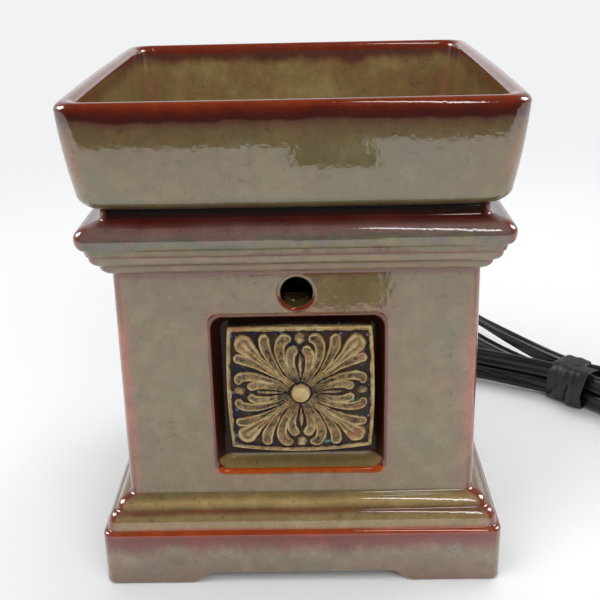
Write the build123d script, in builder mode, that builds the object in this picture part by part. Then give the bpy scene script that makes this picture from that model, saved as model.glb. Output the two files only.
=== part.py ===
"""Square glazed wax melt warmer: stoneware pedestal, loose wax dish, globe lamp, lead, switch and plug.

The origin is the middle of the underside of the pedestal, the front faces -Y and +Z is up.
Lengths are in millimetres and angles in degrees.
"""
from build123d import *
from math import cos, hypot, pi, radians, sin, tan
import os

os.makedirs("parts", exist_ok=True)

# ---------------------------------------------------------------- driving dimensions

# Pedestal, from the floor up. Each moulding stands out from the body by its projection.
body_foot_width = 109.2
body_taper = 1.0
body_height = 74.6
plinth_projection = 8.3
plinth_height = 19.0
plinth_edge_radius = 1.2
skirt_projection = 7.0
skirt_height = 5.8
torus_projection = 4.1
torus_height = 3.6
lower_bed_projection = 3.4
lower_bed_height = 3.4
upper_bed_projection = 5.7
upper_bed_height = 3.2
fascia_projection = 6.6
fascia_height = 2.0
cornice_projection = 8.5
cornice_lip_height = 3.7
cornice_shoulder_height = 3.9
neck_projection = 1.9
neck_height = 3.4
neck_edge_radius = 0.8
corner_radius = 3.2
moulding_step = 0.8

# Pedestal, inside
wall_thickness = 6.3
chamber_corner_radius = 6.0
floor_underside = 18.0
floor_thickness = 5.5
nipple_hole_clearance = 0.4
foot_arch_height = 3.7
foot_arch_width = 57.0
foot_arch_run = 6.5

# Vent hole and niche in the front wall
vent_diameter = 9.2
vent_above_niche = 7.9
vent_lip_radius = 1.1
niche_width = 51.6
niche_height = 51.6
niche_centre_height = 62.2
niche_depth = 5.4
niche_wall_run = 2.8
niche_corner_radius = 2.6
niche_lip_radius = 1.2
niche_backing_thickness = 5.6
niche_backing_margin = 4.0

# Relief tile
tile_width = 43.4
tile_height = 40.4
tile_edge_bow = 0.8
tile_crown = 3.6
tile_offset_x = 0.6
tile_offset_z = 2.1
tile_frame_width = 2.0
tile_relief = 1.1
tile_boss_diameter = 5.8
tile_boss_height = 1.8
tile_edge_setback = 1.0
adhesive_thickness = 1.0
adhesive_margin = 3.5

# Wax dish
dish_overhang = 2.5
dish_height = 31.3
dish_waist_inset = 1.4
dish_foot_inset = 4.2
dish_wall = 5.2
dish_floor_thickness = 6.0
dish_side_bow = 0.8
dish_corner_radius = 7.0
dish_inner_corner_radius = 4.0
dish_rim_radius = 2.1
dish_foot_radius = 5.5
dish_basin_radius = 3.0
dish_ring_depth = 3.0
dish_ring_width = 3.2
dish_ring_clearance = 1.4

# Lamp: a G16.5 globe on an E12 screw cap, 76 mm long in all
globe_diameter = 52.4
glass_thickness = 0.7
glass_neck_diameter = 12.8
glass_neck_height = 9.1
glass_neck_flare = 5.0
glass_neck_angle = 62.0
cap_diameter = 11.8
cap_root_diameter = 10.8
cap_thread_pitch = 2.54
cap_thread_turns = 4
cap_collar_height = 3.2
cap_wall = 0.4
cap_insulator_height = 2.6
cap_insulator_tip_diameter = 6.0
tip_diameter = 4.6
tip_height = 1.6
stem_height = 24.0
stem_diameter = 4.6
lead_wire_diameter = 0.6
filament_diameter = 0.7
filament_span = 15.0
filament_rise = 5.0

# Lamp holder
holder_diameter = 22.0
holder_height = 27.0
holder_base_thickness = 4.0
holder_bore_diameter = 15.4
screw_shell_wall = 0.5
screw_shell_clearance = 0.25
screw_shell_flange = 0.5
screw_shell_height = 15.0
contact_width = 5.0
contact_thickness = 0.6
contact_length = 9.0
contact_rise = 2.0
contact_gap = 0.1

# Nipple, washer and nut below the pedestal's floor
nipple_diameter = 9.8
nipple_bore = 7.6
nipple_end_below_floor = 5.0
washer_diameter = 20.0
washer_thickness = 1.2
nut_across_flats = 14.0
nut_height = 3.2
thread_clearance = 0.1

# Lead: a flat twin lead, seven wide, whose solid is a round of that width
cord_diameter = 7.0
inner_cord_diameter = 5.0
cord_exit_height = 10.6
bushing_bore = 9.6
bushing_fit = 0.1
bushing_flange_diameter = 13.0
bushing_flange_thickness = 1.8
bushing_sleeve_length = 20.0
bushing_root_diameter = 10.6
bushing_tip_diameter = 8.0
bushing_groove_depth = 0.6
bushing_grooves = 4

# Hank: it lies on the floor, folded at both ends and drawn in where it is tied
hank_tie_x = 116.5
hank_tie_y = 64.0
hank_heading = 138.5
hank_side_angle = 12.0
hank_tail_angle = 22.0
hank_fold_radius = 21.5
hank_waist_radius = 60.0
hank_strand_gap = 0.45
hank_lift = 1.2
hank_start = 70.0
hank_climb_start = 52.0
hank_tail_run = 65.0
tie_length = 20.0
tie_thickness = 1.9
tie_clearance = 0.2

# In-line switch
switch_length = 54.0
switch_width = 20.0
switch_height = 12.0
switch_wall = 1.6
switch_nose_width = 11.0
switch_edge_radius = 2.0
switch_from_fold = 53.0
switch_shoulder_bulge = 1.2
switch_screw_slot_width = 0.7
switch_screw_slot_depth = 0.8
wheel_diameter = 19.0
wheel_thickness = 5.0
wheel_offset = 4.0
wheel_clearance = 0.4
wheel_notches = 20
wheel_notch_radius = 0.7
axle_diameter = 3.0
axle_clearance = 0.05
switch_screw_spacing = 34.0
switch_screw_diameter = 2.4
switch_screw_head_diameter = 4.4
switch_screw_head_height = 1.6

# Plug
plug_length = 34.0
plug_width = 25.0
plug_height = 16.0
plug_side_radius = 5.0
plug_edge_radius = 1.5
plug_tail_x = 1.0
plug_tail_y = 184.0
plug_tail_length = 14.0
plug_tail_diameter = 10.0
plug_heading = 176.0
blade_spacing = 12.7
blade_length = 17.0
blade_thickness = 1.5
blade_width_narrow = 6.3
blade_width_wide = 7.9
blade_tip_chamfer = 1.2

# ---------------------------------------------------------------- levels worked out from these

body_head_width = body_foot_width - body_taper
plinth_width = body_foot_width + 2 * plinth_projection
skirt_width = body_foot_width + 2 * skirt_projection
torus_width = body_foot_width + 2 * torus_projection
lower_bed_width = body_head_width + 2 * lower_bed_projection
upper_bed_width = body_head_width + 2 * upper_bed_projection
fascia_width = body_head_width + 2 * fascia_projection
cornice_width = body_head_width + 2 * cornice_projection
neck_width = body_head_width + 2 * neck_projection
dish_width = cornice_width + 2 * dish_overhang
dish_waist_width = dish_width - 2 * dish_waist_inset
dish_foot_width = dish_width - 2 * dish_foot_inset
skirt_foot = plinth_height
torus_foot = skirt_foot + skirt_height
body_foot = torus_foot + torus_height
body_head = body_foot + body_height
upper_bed_foot = body_head + lower_bed_height
fascia_foot = upper_bed_foot + upper_bed_height
lip_foot = fascia_foot + fascia_height
shoulder_foot = lip_foot + cornice_lip_height
neck_foot = shoulder_foot + cornice_shoulder_height
seat_height = neck_foot + neck_height
floor_top = floor_underside + floor_thickness
vent_height = niche_centre_height + niche_height / 2 + vent_above_niche
front_face = -(body_foot_width + body_head_width) / 4
chamber_width = body_head_width - 2 * wall_thickness
recess_width = plinth_width - 2 * wall_thickness
back_face = plinth_width / 2
recess_back = recess_width / 2


def save(builder, name):
    """Label a finished piece and write its STEP file."""
    builder.part.label = name
    export_step(builder.part, "parts/" + name + ".step")


# ---------------------------------------------------------------- pedestal

def swelling(lower_width, foot, upper_width, head, hollow_top):
    """Widths and heights along a quarter-round moulding, which is upright at its wider end."""
    steps = 5
    levels = []
    for i in range(steps + 1):
        angle = radians(90 * i / steps)
        if hollow_top:
            width = upper_width + (lower_width - upper_width) * cos(angle)
            height = foot + (head - foot) * sin(angle)
        else:
            width = lower_width + (upper_width - lower_width) * sin(angle)
            height = foot + (head - foot) * (1 - cos(angle))
        levels.append((width, height))
    return levels


base_mouldings = [
    swelling(skirt_width, skirt_foot, torus_width + moulding_step, torus_foot, True),
    swelling(torus_width, torus_foot, body_foot_width + moulding_step, body_foot, True),
    [(body_foot_width, body_foot), (body_head_width, body_head)],
    swelling(body_head_width + moulding_step, body_head, lower_bed_width, upper_bed_foot, False),
    swelling(lower_bed_width + moulding_step, upper_bed_foot, upper_bed_width, fascia_foot, False),
    [(upper_bed_width + moulding_step, fascia_foot), (fascia_width, lip_foot)],
    swelling(fascia_width + moulding_step, lip_foot, cornice_width, shoulder_foot, False),
    swelling(cornice_width, shoulder_foot, neck_width + moulding_step, neck_foot, True),
]

with BuildPart() as warmer_base:
    with BuildSketch():
        RectangleRounded(plinth_width, plinth_width, corner_radius)
    extrude(amount=plinth_height)
    plinth_rims = warmer_base.edges().filter_by(Plane.XY)
    fillet(plinth_rims, radius=plinth_edge_radius)
    for levels in base_mouldings:
        for width, height in levels:
            with BuildSketch(Plane.XY.offset(height)):
                RectangleRounded(width, width, corner_radius)
        loft(ruled=len(levels) == 2)
    with BuildSketch(Plane.XY.offset(neck_foot)):
        RectangleRounded(neck_width, neck_width, corner_radius)
    extrude(amount=neck_height)
    neck_rim = warmer_base.faces().sort_by(Axis.Z)[-1].outer_wire().edges()
    fillet(neck_rim, radius=neck_edge_radius)
    # Lamp chamber, open at the top, and the hollow under the floor
    with BuildSketch(Plane.XY.offset(floor_top)):
        RectangleRounded(chamber_width, chamber_width, chamber_corner_radius)
    extrude(amount=seat_height - floor_top, mode=Mode.SUBTRACT)
    with BuildSketch():
        RectangleRounded(recess_width, recess_width, chamber_corner_radius)
    extrude(amount=floor_underside, mode=Mode.SUBTRACT)
    # Thickening of the front wall behind the niche
    backing_face = -chamber_width / 2
    with BuildSketch(Plane.XZ.offset(-backing_face)):
        with Locations((0, niche_centre_height)):
            RectangleRounded(
                niche_width + 2 * niche_backing_margin,
                niche_height + 2 * niche_backing_margin,
                niche_corner_radius,
            )
    extrude(amount=-niche_backing_thickness)
    # Niche: its floor is smaller than its mouth
    mouth_plane = Plane.XZ.offset(-front_face + 1.0)
    slope = niche_wall_run / niche_depth
    for depth, plane in ((0.0, mouth_plane), (1.0 + niche_depth, mouth_plane.offset(-1.0 - niche_depth))):
        inset = (depth - 1.0) * slope
        with BuildSketch(plane):
            with Locations((0, niche_centre_height)):
                RectangleRounded(
                    niche_width - 2 * inset, niche_height - 2 * inset, niche_corner_radius
                )
    loft(mode=Mode.SUBTRACT)
    # Vent hole through the front wall
    with BuildSketch(Plane.XZ.offset(-front_face + 1.0)):
        with Locations((0, vent_height)):
            Circle(vent_diameter / 2)
    extrude(amount=-wall_thickness - 4.0, mode=Mode.SUBTRACT)
    # Soft lips round the niche and the vent
    niche_side = (niche_width / 2, front_face, niche_centre_height)
    niche_rim = warmer_base.edges().sort_by_distance(niche_side)[0]
    fillet(niche_rim, radius=niche_lip_radius)
    vent_foot = (0, front_face, vent_height - vent_diameter / 2)
    vent_rim = warmer_base.edges().sort_by_distance(vent_foot)[0]
    fillet(vent_rim, radius=vent_lip_radius)
    # Hole for the lamp holder's nipple, and the lead's way out of the back
    with Locations((0, 0, floor_top)):
        Hole((nipple_diameter + nipple_hole_clearance) / 2, floor_thickness)
    with BuildSketch(Plane.XZ.offset(-recess_back + 1.0)):
        with Locations((0, cord_exit_height)):
            Circle(bushing_bore / 2)
    extrude(amount=-wall_thickness - 2.0, mode=Mode.SUBTRACT)
    # Low arch between the feet on each side
    for plane in (Plane.XZ, Plane.YZ):
        with BuildSketch(plane):
            with BuildLine():
                foot_x = foot_arch_width / 2 + foot_arch_run
                top_x = foot_arch_width / 2
                mid_x = (foot_x + top_x) / 2
                left = [(-foot_x, 0), (-mid_x, foot_arch_height / 2), (-top_x, foot_arch_height)]
                right = [(top_x, foot_arch_height), (mid_x, foot_arch_height / 2), (foot_x, 0)]
                TangentArc(left[0], left[1], tangent=(1, 0))
                TangentArc(left[2], left[1], tangent=(-1, 0))
                Line(left[2], right[0])
                TangentArc(right[0], right[1], tangent=(1, 0))
                TangentArc(right[2], right[1], tangent=(-1, 0))
                Line(right[2], left[0])
            make_face()
        extrude(amount=plinth_width, both=True, mode=Mode.SUBTRACT)
save(warmer_base, "warmer_base")
print("warmer_base", round(warmer_base.part.volume), warmer_base.part.is_valid)


# ---------------------------------------------------------------- wax dish

def bowed_square(width, corner):
    """Square outline whose sides swell outwards a little, with rounded corners."""
    side = width / 2
    corner_x = side - dish_side_bow
    with BuildSketch() as outline:
        with BuildLine():
            ThreePointArc((-corner_x, -corner_x), (0, -side), (corner_x, -corner_x))
            ThreePointArc((corner_x, -corner_x), (side, 0), (corner_x, corner_x))
            ThreePointArc((corner_x, corner_x), (0, side), (-corner_x, corner_x))
            ThreePointArc((-corner_x, corner_x), (-side, 0), (-corner_x, -corner_x))
        make_face()
        fillet(outline.vertices(), radius=corner)
    return outline.sketch


dish_top = seat_height + dish_height
dish_waist = seat_height + dish_height / 2
dish_floor_top = seat_height + dish_floor_thickness
basin_foot_width = (dish_foot_width + dish_waist_width) / 2 - 2 * dish_wall
ring_outer_width = chamber_width - 2 * dish_ring_clearance

with BuildPart() as wax_dish:
    for height, width in (
        (seat_height, dish_foot_width),
        (dish_waist, dish_waist_width),
        (dish_top, dish_width),
    ):
        with BuildSketch(Plane.XY.offset(height)):
            add(bowed_square(width, dish_corner_radius))
    loft()
    foot_rim = wax_dish.faces().sort_by(Axis.Z)[0].outer_wire().edges()
    fillet(foot_rim, radius=dish_foot_radius)
    with BuildSketch(Plane.XY.offset(dish_floor_top)):
        add(bowed_square(basin_foot_width, dish_inner_corner_radius))
    with BuildSketch(Plane.XY.offset(dish_top)):
        add(bowed_square(dish_width - 2 * dish_wall, dish_inner_corner_radius))
    loft(mode=Mode.SUBTRACT)
    basin_floor = wax_dish.faces().filter_by(Axis.Z).sort_by(Axis.Z)[1]
    fillet(basin_floor.outer_wire().edges(), radius=dish_basin_radius)
    rim = wax_dish.faces().sort_by(Axis.Z)[-1]
    fillet(rim.edges(), radius=dish_rim_radius)
    # Square ring underneath that keeps the dish over the chamber
    with BuildSketch(Plane.XY.offset(seat_height - dish_ring_depth)):
        RectangleRounded(ring_outer_width, ring_outer_width, chamber_corner_radius)
        ring_inner_width = ring_outer_width - 2 * dish_ring_width
        RectangleRounded(ring_inner_width, ring_inner_width, corner_radius, mode=Mode.SUBTRACT)
    extrude(amount=dish_ring_depth)
save(wax_dish, "wax_dish")
print("wax_dish", round(wax_dish.part.volume), wax_dish.part.is_valid)


# ---------------------------------------------------------------- relief tile in the niche

tile_height_centre = niche_centre_height + tile_offset_z
niche_floor_face = front_face + niche_depth
tile_back_face = niche_floor_face - adhesive_thickness
tile_corner_face = front_face + tile_edge_setback
tile_corner_reach = hypot(tile_width / 2, tile_height / 2)
tile_dome_radius = (tile_corner_reach ** 2 + tile_crown ** 2) / (2 * tile_crown)
tile_dome_centre = tile_corner_face - tile_crown + tile_dome_radius


def tile_outline(inset):
    """Face of the tile's bowed outline, drawn in on every side by the inset."""
    side_x = tile_width / 2 - inset
    side_z = tile_height / 2 - inset
    with BuildSketch() as outline:
        with BuildLine():
            ThreePointArc((-side_x, -side_z), (0, -side_z - tile_edge_bow), (side_x, -side_z))
            ThreePointArc((side_x, -side_z), (side_x + tile_edge_bow, 0), (side_x, side_z))
            ThreePointArc((side_x, side_z), (0, side_z + tile_edge_bow), (-side_x, side_z))
            ThreePointArc((-side_x, side_z), (-side_x - tile_edge_bow, 0), (-side_x, -side_z))
        make_face()
    return outline.sketch


def tile_dome(sink):
    """Sphere whose front is the tile's crowned face, moved back by the sink."""
    with BuildPart(mode=Mode.PRIVATE) as dome:
        with Locations((tile_offset_x, tile_dome_centre, tile_height_centre)):
            Sphere(tile_dome_radius - sink)
    return dome.part


tile_plane = Plane(
    origin=(tile_offset_x, tile_back_face, tile_height_centre), x_dir=(1, 0, 0), z_dir=(0, -1, 0)
)

with BuildPart() as tile_field:
    with BuildSketch(tile_plane):
        add(tile_outline(tile_frame_width))
    extrude(amount=niche_depth + tile_crown)
    add(tile_dome(tile_relief), mode=Mode.INTERSECT)

with BuildPart() as medallion_tile:
    with BuildSketch(tile_plane):
        add(tile_outline(0))
        add(tile_outline(tile_frame_width), mode=Mode.SUBTRACT)
    extrude(amount=niche_depth + tile_crown)
    add(tile_dome(0), mode=Mode.INTERSECT)
    add(tile_field.part)
    boss_reach = tile_dome_centre - tile_dome_radius - tile_boss_height
    with BuildSketch(tile_plane):
        Circle(tile_boss_diameter / 2)
    extrude(amount=tile_back_face - boss_reach)
    boss_rim = medallion_tile.faces().sort_by(Axis.Y)[0].edges()
    fillet(boss_rim, radius=tile_boss_height / 3)
save(medallion_tile, "medallion_tile")
print("medallion_tile", round(medallion_tile.part.volume), medallion_tile.part.is_valid)

with BuildPart() as tile_adhesive:
    with BuildSketch(tile_plane):
        Rectangle(tile_width - 2 * adhesive_margin, tile_height - 2 * adhesive_margin)
    extrude(amount=-adhesive_thickness)
save(tile_adhesive, "tile_adhesive")


# ---------------------------------------------------------------- lamp holder

holder_top = floor_top + holder_height
holder_seat = floor_top + holder_base_thickness
shell_inner_radius = cap_diameter / 2 + screw_shell_clearance
shell_outer_radius = shell_inner_radius + screw_shell_wall
flange_radius = (holder_bore_diameter - 2 * thread_clearance) / 2
shell_foot = holder_seat + contact_rise
tip_foot = holder_seat + contact_rise + contact_thickness + contact_gap

with BuildPart() as socket_body:
    with Locations((0, 0, floor_top)):
        Cylinder(
            holder_diameter / 2, holder_height, align=(Align.CENTER, Align.CENTER, Align.MIN)
        )
    with Locations((0, 0, holder_seat)):
        Cylinder(
            holder_bore_diameter / 2,
            holder_height,
            align=(Align.CENTER, Align.CENTER, Align.MIN),
            mode=Mode.SUBTRACT,
        )
    with Locations((0, 0, holder_top)):
        Hole(nipple_diameter / 2 + thread_clearance / 2, holder_height)
    mouth = socket_body.edges().filter_by(GeomType.CIRCLE).group_by(Axis.Z)[-1]
    fillet(mouth, radius=0.8)
save(socket_body, "socket_body")

with BuildPart() as socket_screw_shell:
    with BuildSketch(Plane.XY.offset(shell_foot)):
        Circle(flange_radius)
        Circle(shell_inner_radius, mode=Mode.SUBTRACT)
    extrude(amount=screw_shell_flange)
    with BuildSketch(Plane.XY.offset(shell_foot)):
        Circle(shell_outer_radius)
        Circle(shell_inner_radius, mode=Mode.SUBTRACT)
    extrude(amount=screw_shell_height)
    # Three feet that stand the shell on the holder's floor, clear of the nipple
    foot_outer_radius = flange_radius
    foot_inner_radius = flange_radius - 1.2
    with BuildSketch(Plane.XY.offset(holder_seat)):
        Circle(foot_outer_radius)
        Circle(foot_inner_radius, mode=Mode.SUBTRACT)
        Rectangle(contact_length * 4, contact_width + 2.0, mode=Mode.SUBTRACT)
    extrude(amount=contact_rise)
save(socket_screw_shell, "socket_screw_shell")

# Brass strip: two feet on the holder's floor and a raised bridge under the cap's tip
bridge_run = contact_length / 2
foot_run = flange_radius - 0.4
with BuildPart() as socket_centre_contact:
    with BuildSketch(Plane.XZ):
        with BuildLine():
            Polyline(
                (-foot_run, holder_seat),
                (-bridge_run, holder_seat),
                (-bridge_run + contact_rise, holder_seat + contact_rise),
                (bridge_run - contact_rise, holder_seat + contact_rise),
                (bridge_run, holder_seat),
                (foot_run, holder_seat),
                (foot_run, holder_seat + contact_thickness),
                (bridge_run + contact_thickness / 2, holder_seat + contact_thickness),
                (
                    bridge_run - contact_rise + contact_thickness / 2,
                    holder_seat + contact_rise + contact_thickness,
                ),
                (
                    -bridge_run + contact_rise - contact_thickness / 2,
                    holder_seat + contact_rise + contact_thickness,
                ),
                (-bridge_run - contact_thickness / 2, holder_seat + contact_thickness),
                (-foot_run, holder_seat + contact_thickness),
                close=True,
            )
        make_face()
    extrude(amount=contact_width / 2, both=True)
save(socket_centre_contact, "socket_centre_contact")

nipple_foot = floor_underside - nipple_end_below_floor
with BuildPart() as threaded_nipple:
    with BuildSketch(Plane.XY.offset(nipple_foot)):
        Circle(nipple_diameter / 2)
        Circle(nipple_bore / 2, mode=Mode.SUBTRACT)
    extrude(amount=holder_seat - nipple_foot)
save(threaded_nipple, "threaded_nipple")

with BuildPart() as nipple_washer:
    with BuildSketch(Plane.XY.offset(floor_underside - washer_thickness)):
        Circle(washer_diameter / 2)
        Circle(nipple_diameter / 2 + thread_clearance, mode=Mode.SUBTRACT)
    extrude(amount=washer_thickness)
save(nipple_washer, "nipple_washer")

with BuildPart() as nipple_nut:
    with BuildSketch(Plane.XY.offset(floor_underside - washer_thickness - nut_height)):
        RegularPolygon(nut_across_flats / 2, 6, major_radius=False)
        Circle(nipple_diameter / 2 + thread_clearance / 2, mode=Mode.SUBTRACT)
    extrude(amount=nut_height)
save(nipple_nut, "nipple_nut")


# ---------------------------------------------------------------- lamp

insulator_foot = tip_foot + tip_height
cap_foot = insulator_foot + cap_insulator_height
collar_foot = cap_foot + cap_thread_pitch * cap_thread_turns
cap_top = collar_foot + cap_collar_height
glass_neck_head = cap_top + glass_neck_height
globe_centre = glass_neck_head + globe_diameter / 2 * sin(radians(glass_neck_angle))
stem_foot = cap_top - 1.0
stem_top = stem_foot + stem_height

with BuildPart() as bulb_tip_contact:
    with Locations((0, 0, tip_foot)):
        Cylinder(tip_diameter / 2, tip_height, align=(Align.CENTER, Align.CENTER, Align.MIN))
    fillet(bulb_tip_contact.edges().sort_by(Axis.Z)[0], radius=tip_height / 2)
save(bulb_tip_contact, "bulb_tip_contact")

cap_inner_radius = cap_root_diameter / 2 - cap_wall
with BuildPart() as bulb_insulator:
    with BuildSketch(Plane.XZ):
        with BuildLine():
            Polyline(
                (0, insulator_foot),
                (cap_insulator_tip_diameter / 2, insulator_foot),
                (cap_inner_radius, cap_foot),
                (0, cap_foot),
                close=True,
            )
        make_face()
    revolve(axis=Axis.Z)
save(bulb_insulator, "bulb_insulator")

# Screw cap: rolled thread crests above one another, then a plain collar
with BuildPart() as bulb_shell:
    with BuildSketch(Plane.XZ):
        with BuildLine():
            Line((cap_inner_radius, cap_foot), (cap_root_diameter / 2, cap_foot))
            for turn in range(cap_thread_turns):
                crest_foot = cap_foot + turn * cap_thread_pitch
                ThreePointArc(
                    (cap_root_diameter / 2, crest_foot),
                    (cap_diameter / 2, crest_foot + cap_thread_pitch / 2),
                    (cap_root_diameter / 2, crest_foot + cap_thread_pitch),
                )
            Line((cap_root_diameter / 2, collar_foot), (cap_diameter / 2, collar_foot))
            Line((cap_diameter / 2, collar_foot), (cap_diameter / 2, cap_top))
            Line((cap_diameter / 2, cap_top), (cap_inner_radius, cap_top))
            Line((cap_inner_radius, cap_top), (cap_inner_radius, cap_foot))
        make_face()
    revolve(axis=Axis.Z)
save(bulb_shell, "bulb_shell")


def globe(shrink):
    """Solid of the globe and its neck, smaller all round by the shrink."""
    radius = globe_diameter / 2 - shrink
    neck_radius = glass_neck_diameter / 2 - shrink
    flare_radius = neck_radius + 2.0
    flare_head = cap_top + glass_neck_flare
    meet_angle = radians(-glass_neck_angle)
    meet = (radius * cos(meet_angle), globe_centre + radius * sin(meet_angle))
    side = (radius, globe_centre)
    top = (0, globe_centre + radius)
    upper = (radius * cos(radians(45)), globe_centre + radius * sin(radians(45)))
    lower = (radius * cos(meet_angle / 2), globe_centre + radius * sin(meet_angle / 2))
    with BuildPart(mode=Mode.PRIVATE) as shape:
        with BuildSketch(Plane.XZ):
            with BuildLine():
                Line((0, cap_top), (neck_radius, cap_top))
                Line((neck_radius, cap_top), (flare_radius, flare_head))
                Line((flare_radius, flare_head), meet)
                ThreePointArc(meet, lower, side)
                ThreePointArc(side, upper, top)
                Line(top, (0, cap_top))
            make_face()
        revolve(axis=Axis.Z)
    return shape.part


with BuildPart() as bulb_glass:
    add(globe(0))
    add(globe(glass_thickness), mode=Mode.SUBTRACT)
save(bulb_glass, "bulb_glass")
print("bulb_glass", round(bulb_glass.part.volume), bulb_glass.part.is_valid)

# Glass stem inside the globe: a flare down in the cap, drawn to a pinch at the top
with BuildPart() as bulb_stem:
    with BuildSketch(Plane.XZ):
        with BuildLine():
            Polyline(
                (0, stem_foot),
                (cap_inner_radius, stem_foot),
                (cap_inner_radius, cap_top - 0.3),
                (stem_diameter / 2, cap_top + 2.5),
                (stem_diameter / 2 - 0.6, stem_top),
                (0, stem_top),
                close=True,
            )
        make_face()
    revolve(axis=Axis.Z)
save(bulb_stem, "bulb_stem")

wire_radius = lead_wire_diameter / 2
wire_foot_x = stem_diameter / 4
wire_top = globe_centre + 2.0
with BuildPart() as bulb_lead_wires:
    for side in (-1, 1):
        with BuildLine():
            FilletPolyline(
                (side * wire_foot_x, 0, stem_top),
                (side * wire_foot_x, 0, stem_top + 2.0),
                (side * filament_span / 2, 0, wire_top - 2.5),
                (side * filament_span / 2, 0, wire_top),
                radius=1.0,
            )
        with BuildSketch(Plane(origin=(side * wire_foot_x, 0, stem_top), z_dir=(0, 0, 1))):
            Circle(wire_radius)
        sweep()
save(bulb_lead_wires, "bulb_lead_wires")

filament_end_x = filament_span / 2
filament_foot = wire_top + filament_diameter / 2
with BuildPart() as bulb_filament:
    with BuildLine() as filament_route:
        ThreePointArc(
            (-filament_end_x, 0, filament_foot),
            (0, 0, filament_foot + filament_rise),
            (filament_end_x, 0, filament_foot),
        )
    with BuildSketch(Plane(origin=filament_route.line @ 0, z_dir=filament_route.line % 0)):
        Circle(filament_diameter / 2)
    sweep()
save(bulb_filament, "bulb_filament")


# ---------------------------------------------------------------- lead inside, and strain relief

def round_route(points, tightest=None):
    """Radius at each corner of a lead's route, as large as its two runs allow."""
    radii = []
    for i in range(1, len(points) - 1):
        before = Vector(*points[i]) - Vector(*points[i - 1])
        after = Vector(*points[i + 1]) - Vector(*points[i])
        half_turn = radians(before.get_angle(after)) / 2
        radius = 0.45 * min(before.length, after.length) / tan(half_turn)
        radii.append(min(radius, tightest) if tightest else radius)
    return radii


def lead_section(route, diameter):
    """Round section at the start of a lead's route, square to it."""
    with BuildSketch(Plane(origin=route @ 0, z_dir=route % 0)) as section:
        Circle(diameter / 2)
    return section.sketch


bend_radius = 1.2 * inner_cord_diameter
inner_cord_height = nipple_foot - 0.6 - bend_radius
bushing_inner_face = recess_back - bushing_flange_thickness

inner_points = [
    (0, 0, holder_seat - 1.0),
    (0, 0, inner_cord_height),
    (0, 22.0, inner_cord_height),
    (0, 40.0, cord_exit_height),
    (0, bushing_inner_face, cord_exit_height),
]
with BuildPart() as cord_internal:
    with BuildLine() as inner_route:
        FilletPolyline(*inner_points, radius=[bend_radius, 20.0, 20.0])
    inner_wire = inner_route.wires()[0]
    add(lead_section(inner_wire, inner_cord_diameter))
    sweep(path=inner_wire)
save(cord_internal, "cord_internal")
inner_section_area = pi * inner_cord_diameter ** 2 / 4
print(
    "cord_internal volume", round(cord_internal.part.volume, 1),
    "section x length", round(inner_section_area * inner_wire.length, 1),
)

# Bushing: a body through the wall, a flange each side and a tapered, grooved sleeve
bushing_body_radius = bushing_bore / 2 - bushing_fit
sleeve_foot = back_face + bushing_flange_thickness
bushing_tip = sleeve_foot + bushing_sleeve_length
groove_pitch = bushing_sleeve_length / (bushing_grooves + 1)
with BuildPart() as cord_bushing:
    with BuildSketch(Plane.YZ):
        with BuildLine():
            flange_rim = cord_exit_height + bushing_flange_diameter / 2
            body_rim = cord_exit_height + bushing_body_radius
            root_rim = cord_exit_height + bushing_root_diameter / 2
            tip_rim = cord_exit_height + bushing_tip_diameter / 2
            Polyline(
                (bushing_inner_face, cord_exit_height),
                (bushing_inner_face, flange_rim),
                (recess_back, flange_rim),
                (recess_back, body_rim),
                (back_face, body_rim),
                (back_face, flange_rim),
                (sleeve_foot, flange_rim),
                (sleeve_foot, root_rim),
                (bushing_tip, tip_rim),
                (bushing_tip, cord_exit_height),
                close=True,
            )
        make_face()
    bushing_axis = Axis((0, 0, cord_exit_height), (0, 1, 0))
    revolve(axis=bushing_axis)
    for i in range(bushing_grooves):
        groove_y = sleeve_foot + (i + 0.6) * groove_pitch
        share = (groove_y - sleeve_foot) / bushing_sleeve_length
        rim_radius = (bushing_root_diameter + share * (bushing_tip_diameter - bushing_root_diameter)) / 2
        with BuildSketch(Plane.XZ.offset(-groove_y - groove_pitch / 2)):
            with Locations((0, cord_exit_height)):
                Circle(rim_radius + 2.0)
                Circle(rim_radius - bushing_groove_depth, mode=Mode.SUBTRACT)
        extrude(amount=groove_pitch / 2, mode=Mode.SUBTRACT)
save(cord_bushing, "cord_bushing")


# ---------------------------------------------------------------- hank

heading = radians(hank_heading)
side_angle = radians(hank_side_angle)
tail_angle = radians(hank_tail_angle)
layer_pitch = cord_diameter + hank_strand_gap
lower_layer = cord_diameter / 2 + hank_lift
upper_layer = lower_layer + layer_pitch
waist_half = layer_pitch / 2 + 0.05


def on_hank(along, across, height):
    """Point given along the hank's axis, across it towards the far side, and above the floor."""
    x = hank_tie_x + along * cos(heading) + across * sin(heading)
    y = hank_tie_y + along * sin(heading) - across * cos(heading)
    return (x, y, height)


def flare(angle):
    """Half width where a strand leaves its waist arc at an angle, and how far along that is."""
    along = hank_waist_radius * sin(angle)
    across = waist_half + hank_waist_radius * (1 - cos(angle))
    return along, across


flare_along, flare_across = flare(side_angle)
tail_flare_along, tail_flare_across = flare(tail_angle)
fold_centre = flare_along + (hank_fold_radius - flare_across * cos(side_angle)) / sin(side_angle)
fold_along = fold_centre - hank_fold_radius * sin(side_angle)
fold_across = hank_fold_radius * cos(side_angle)
fold_end = fold_centre + hank_fold_radius
start_across = flare_across + (hank_start - flare_along) * tan(side_angle)
climb_across = flare_across + (hank_climb_start - flare_along) * tan(side_angle)
climb_middle_along = (hank_climb_start + fold_along) / 2
climb_middle_across = (climb_across + fold_across) / 2
tail_end_along = tail_flare_along + hank_tail_run * cos(tail_angle)
tail_end_across = tail_flare_across + hank_tail_run * sin(tail_angle)


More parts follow.
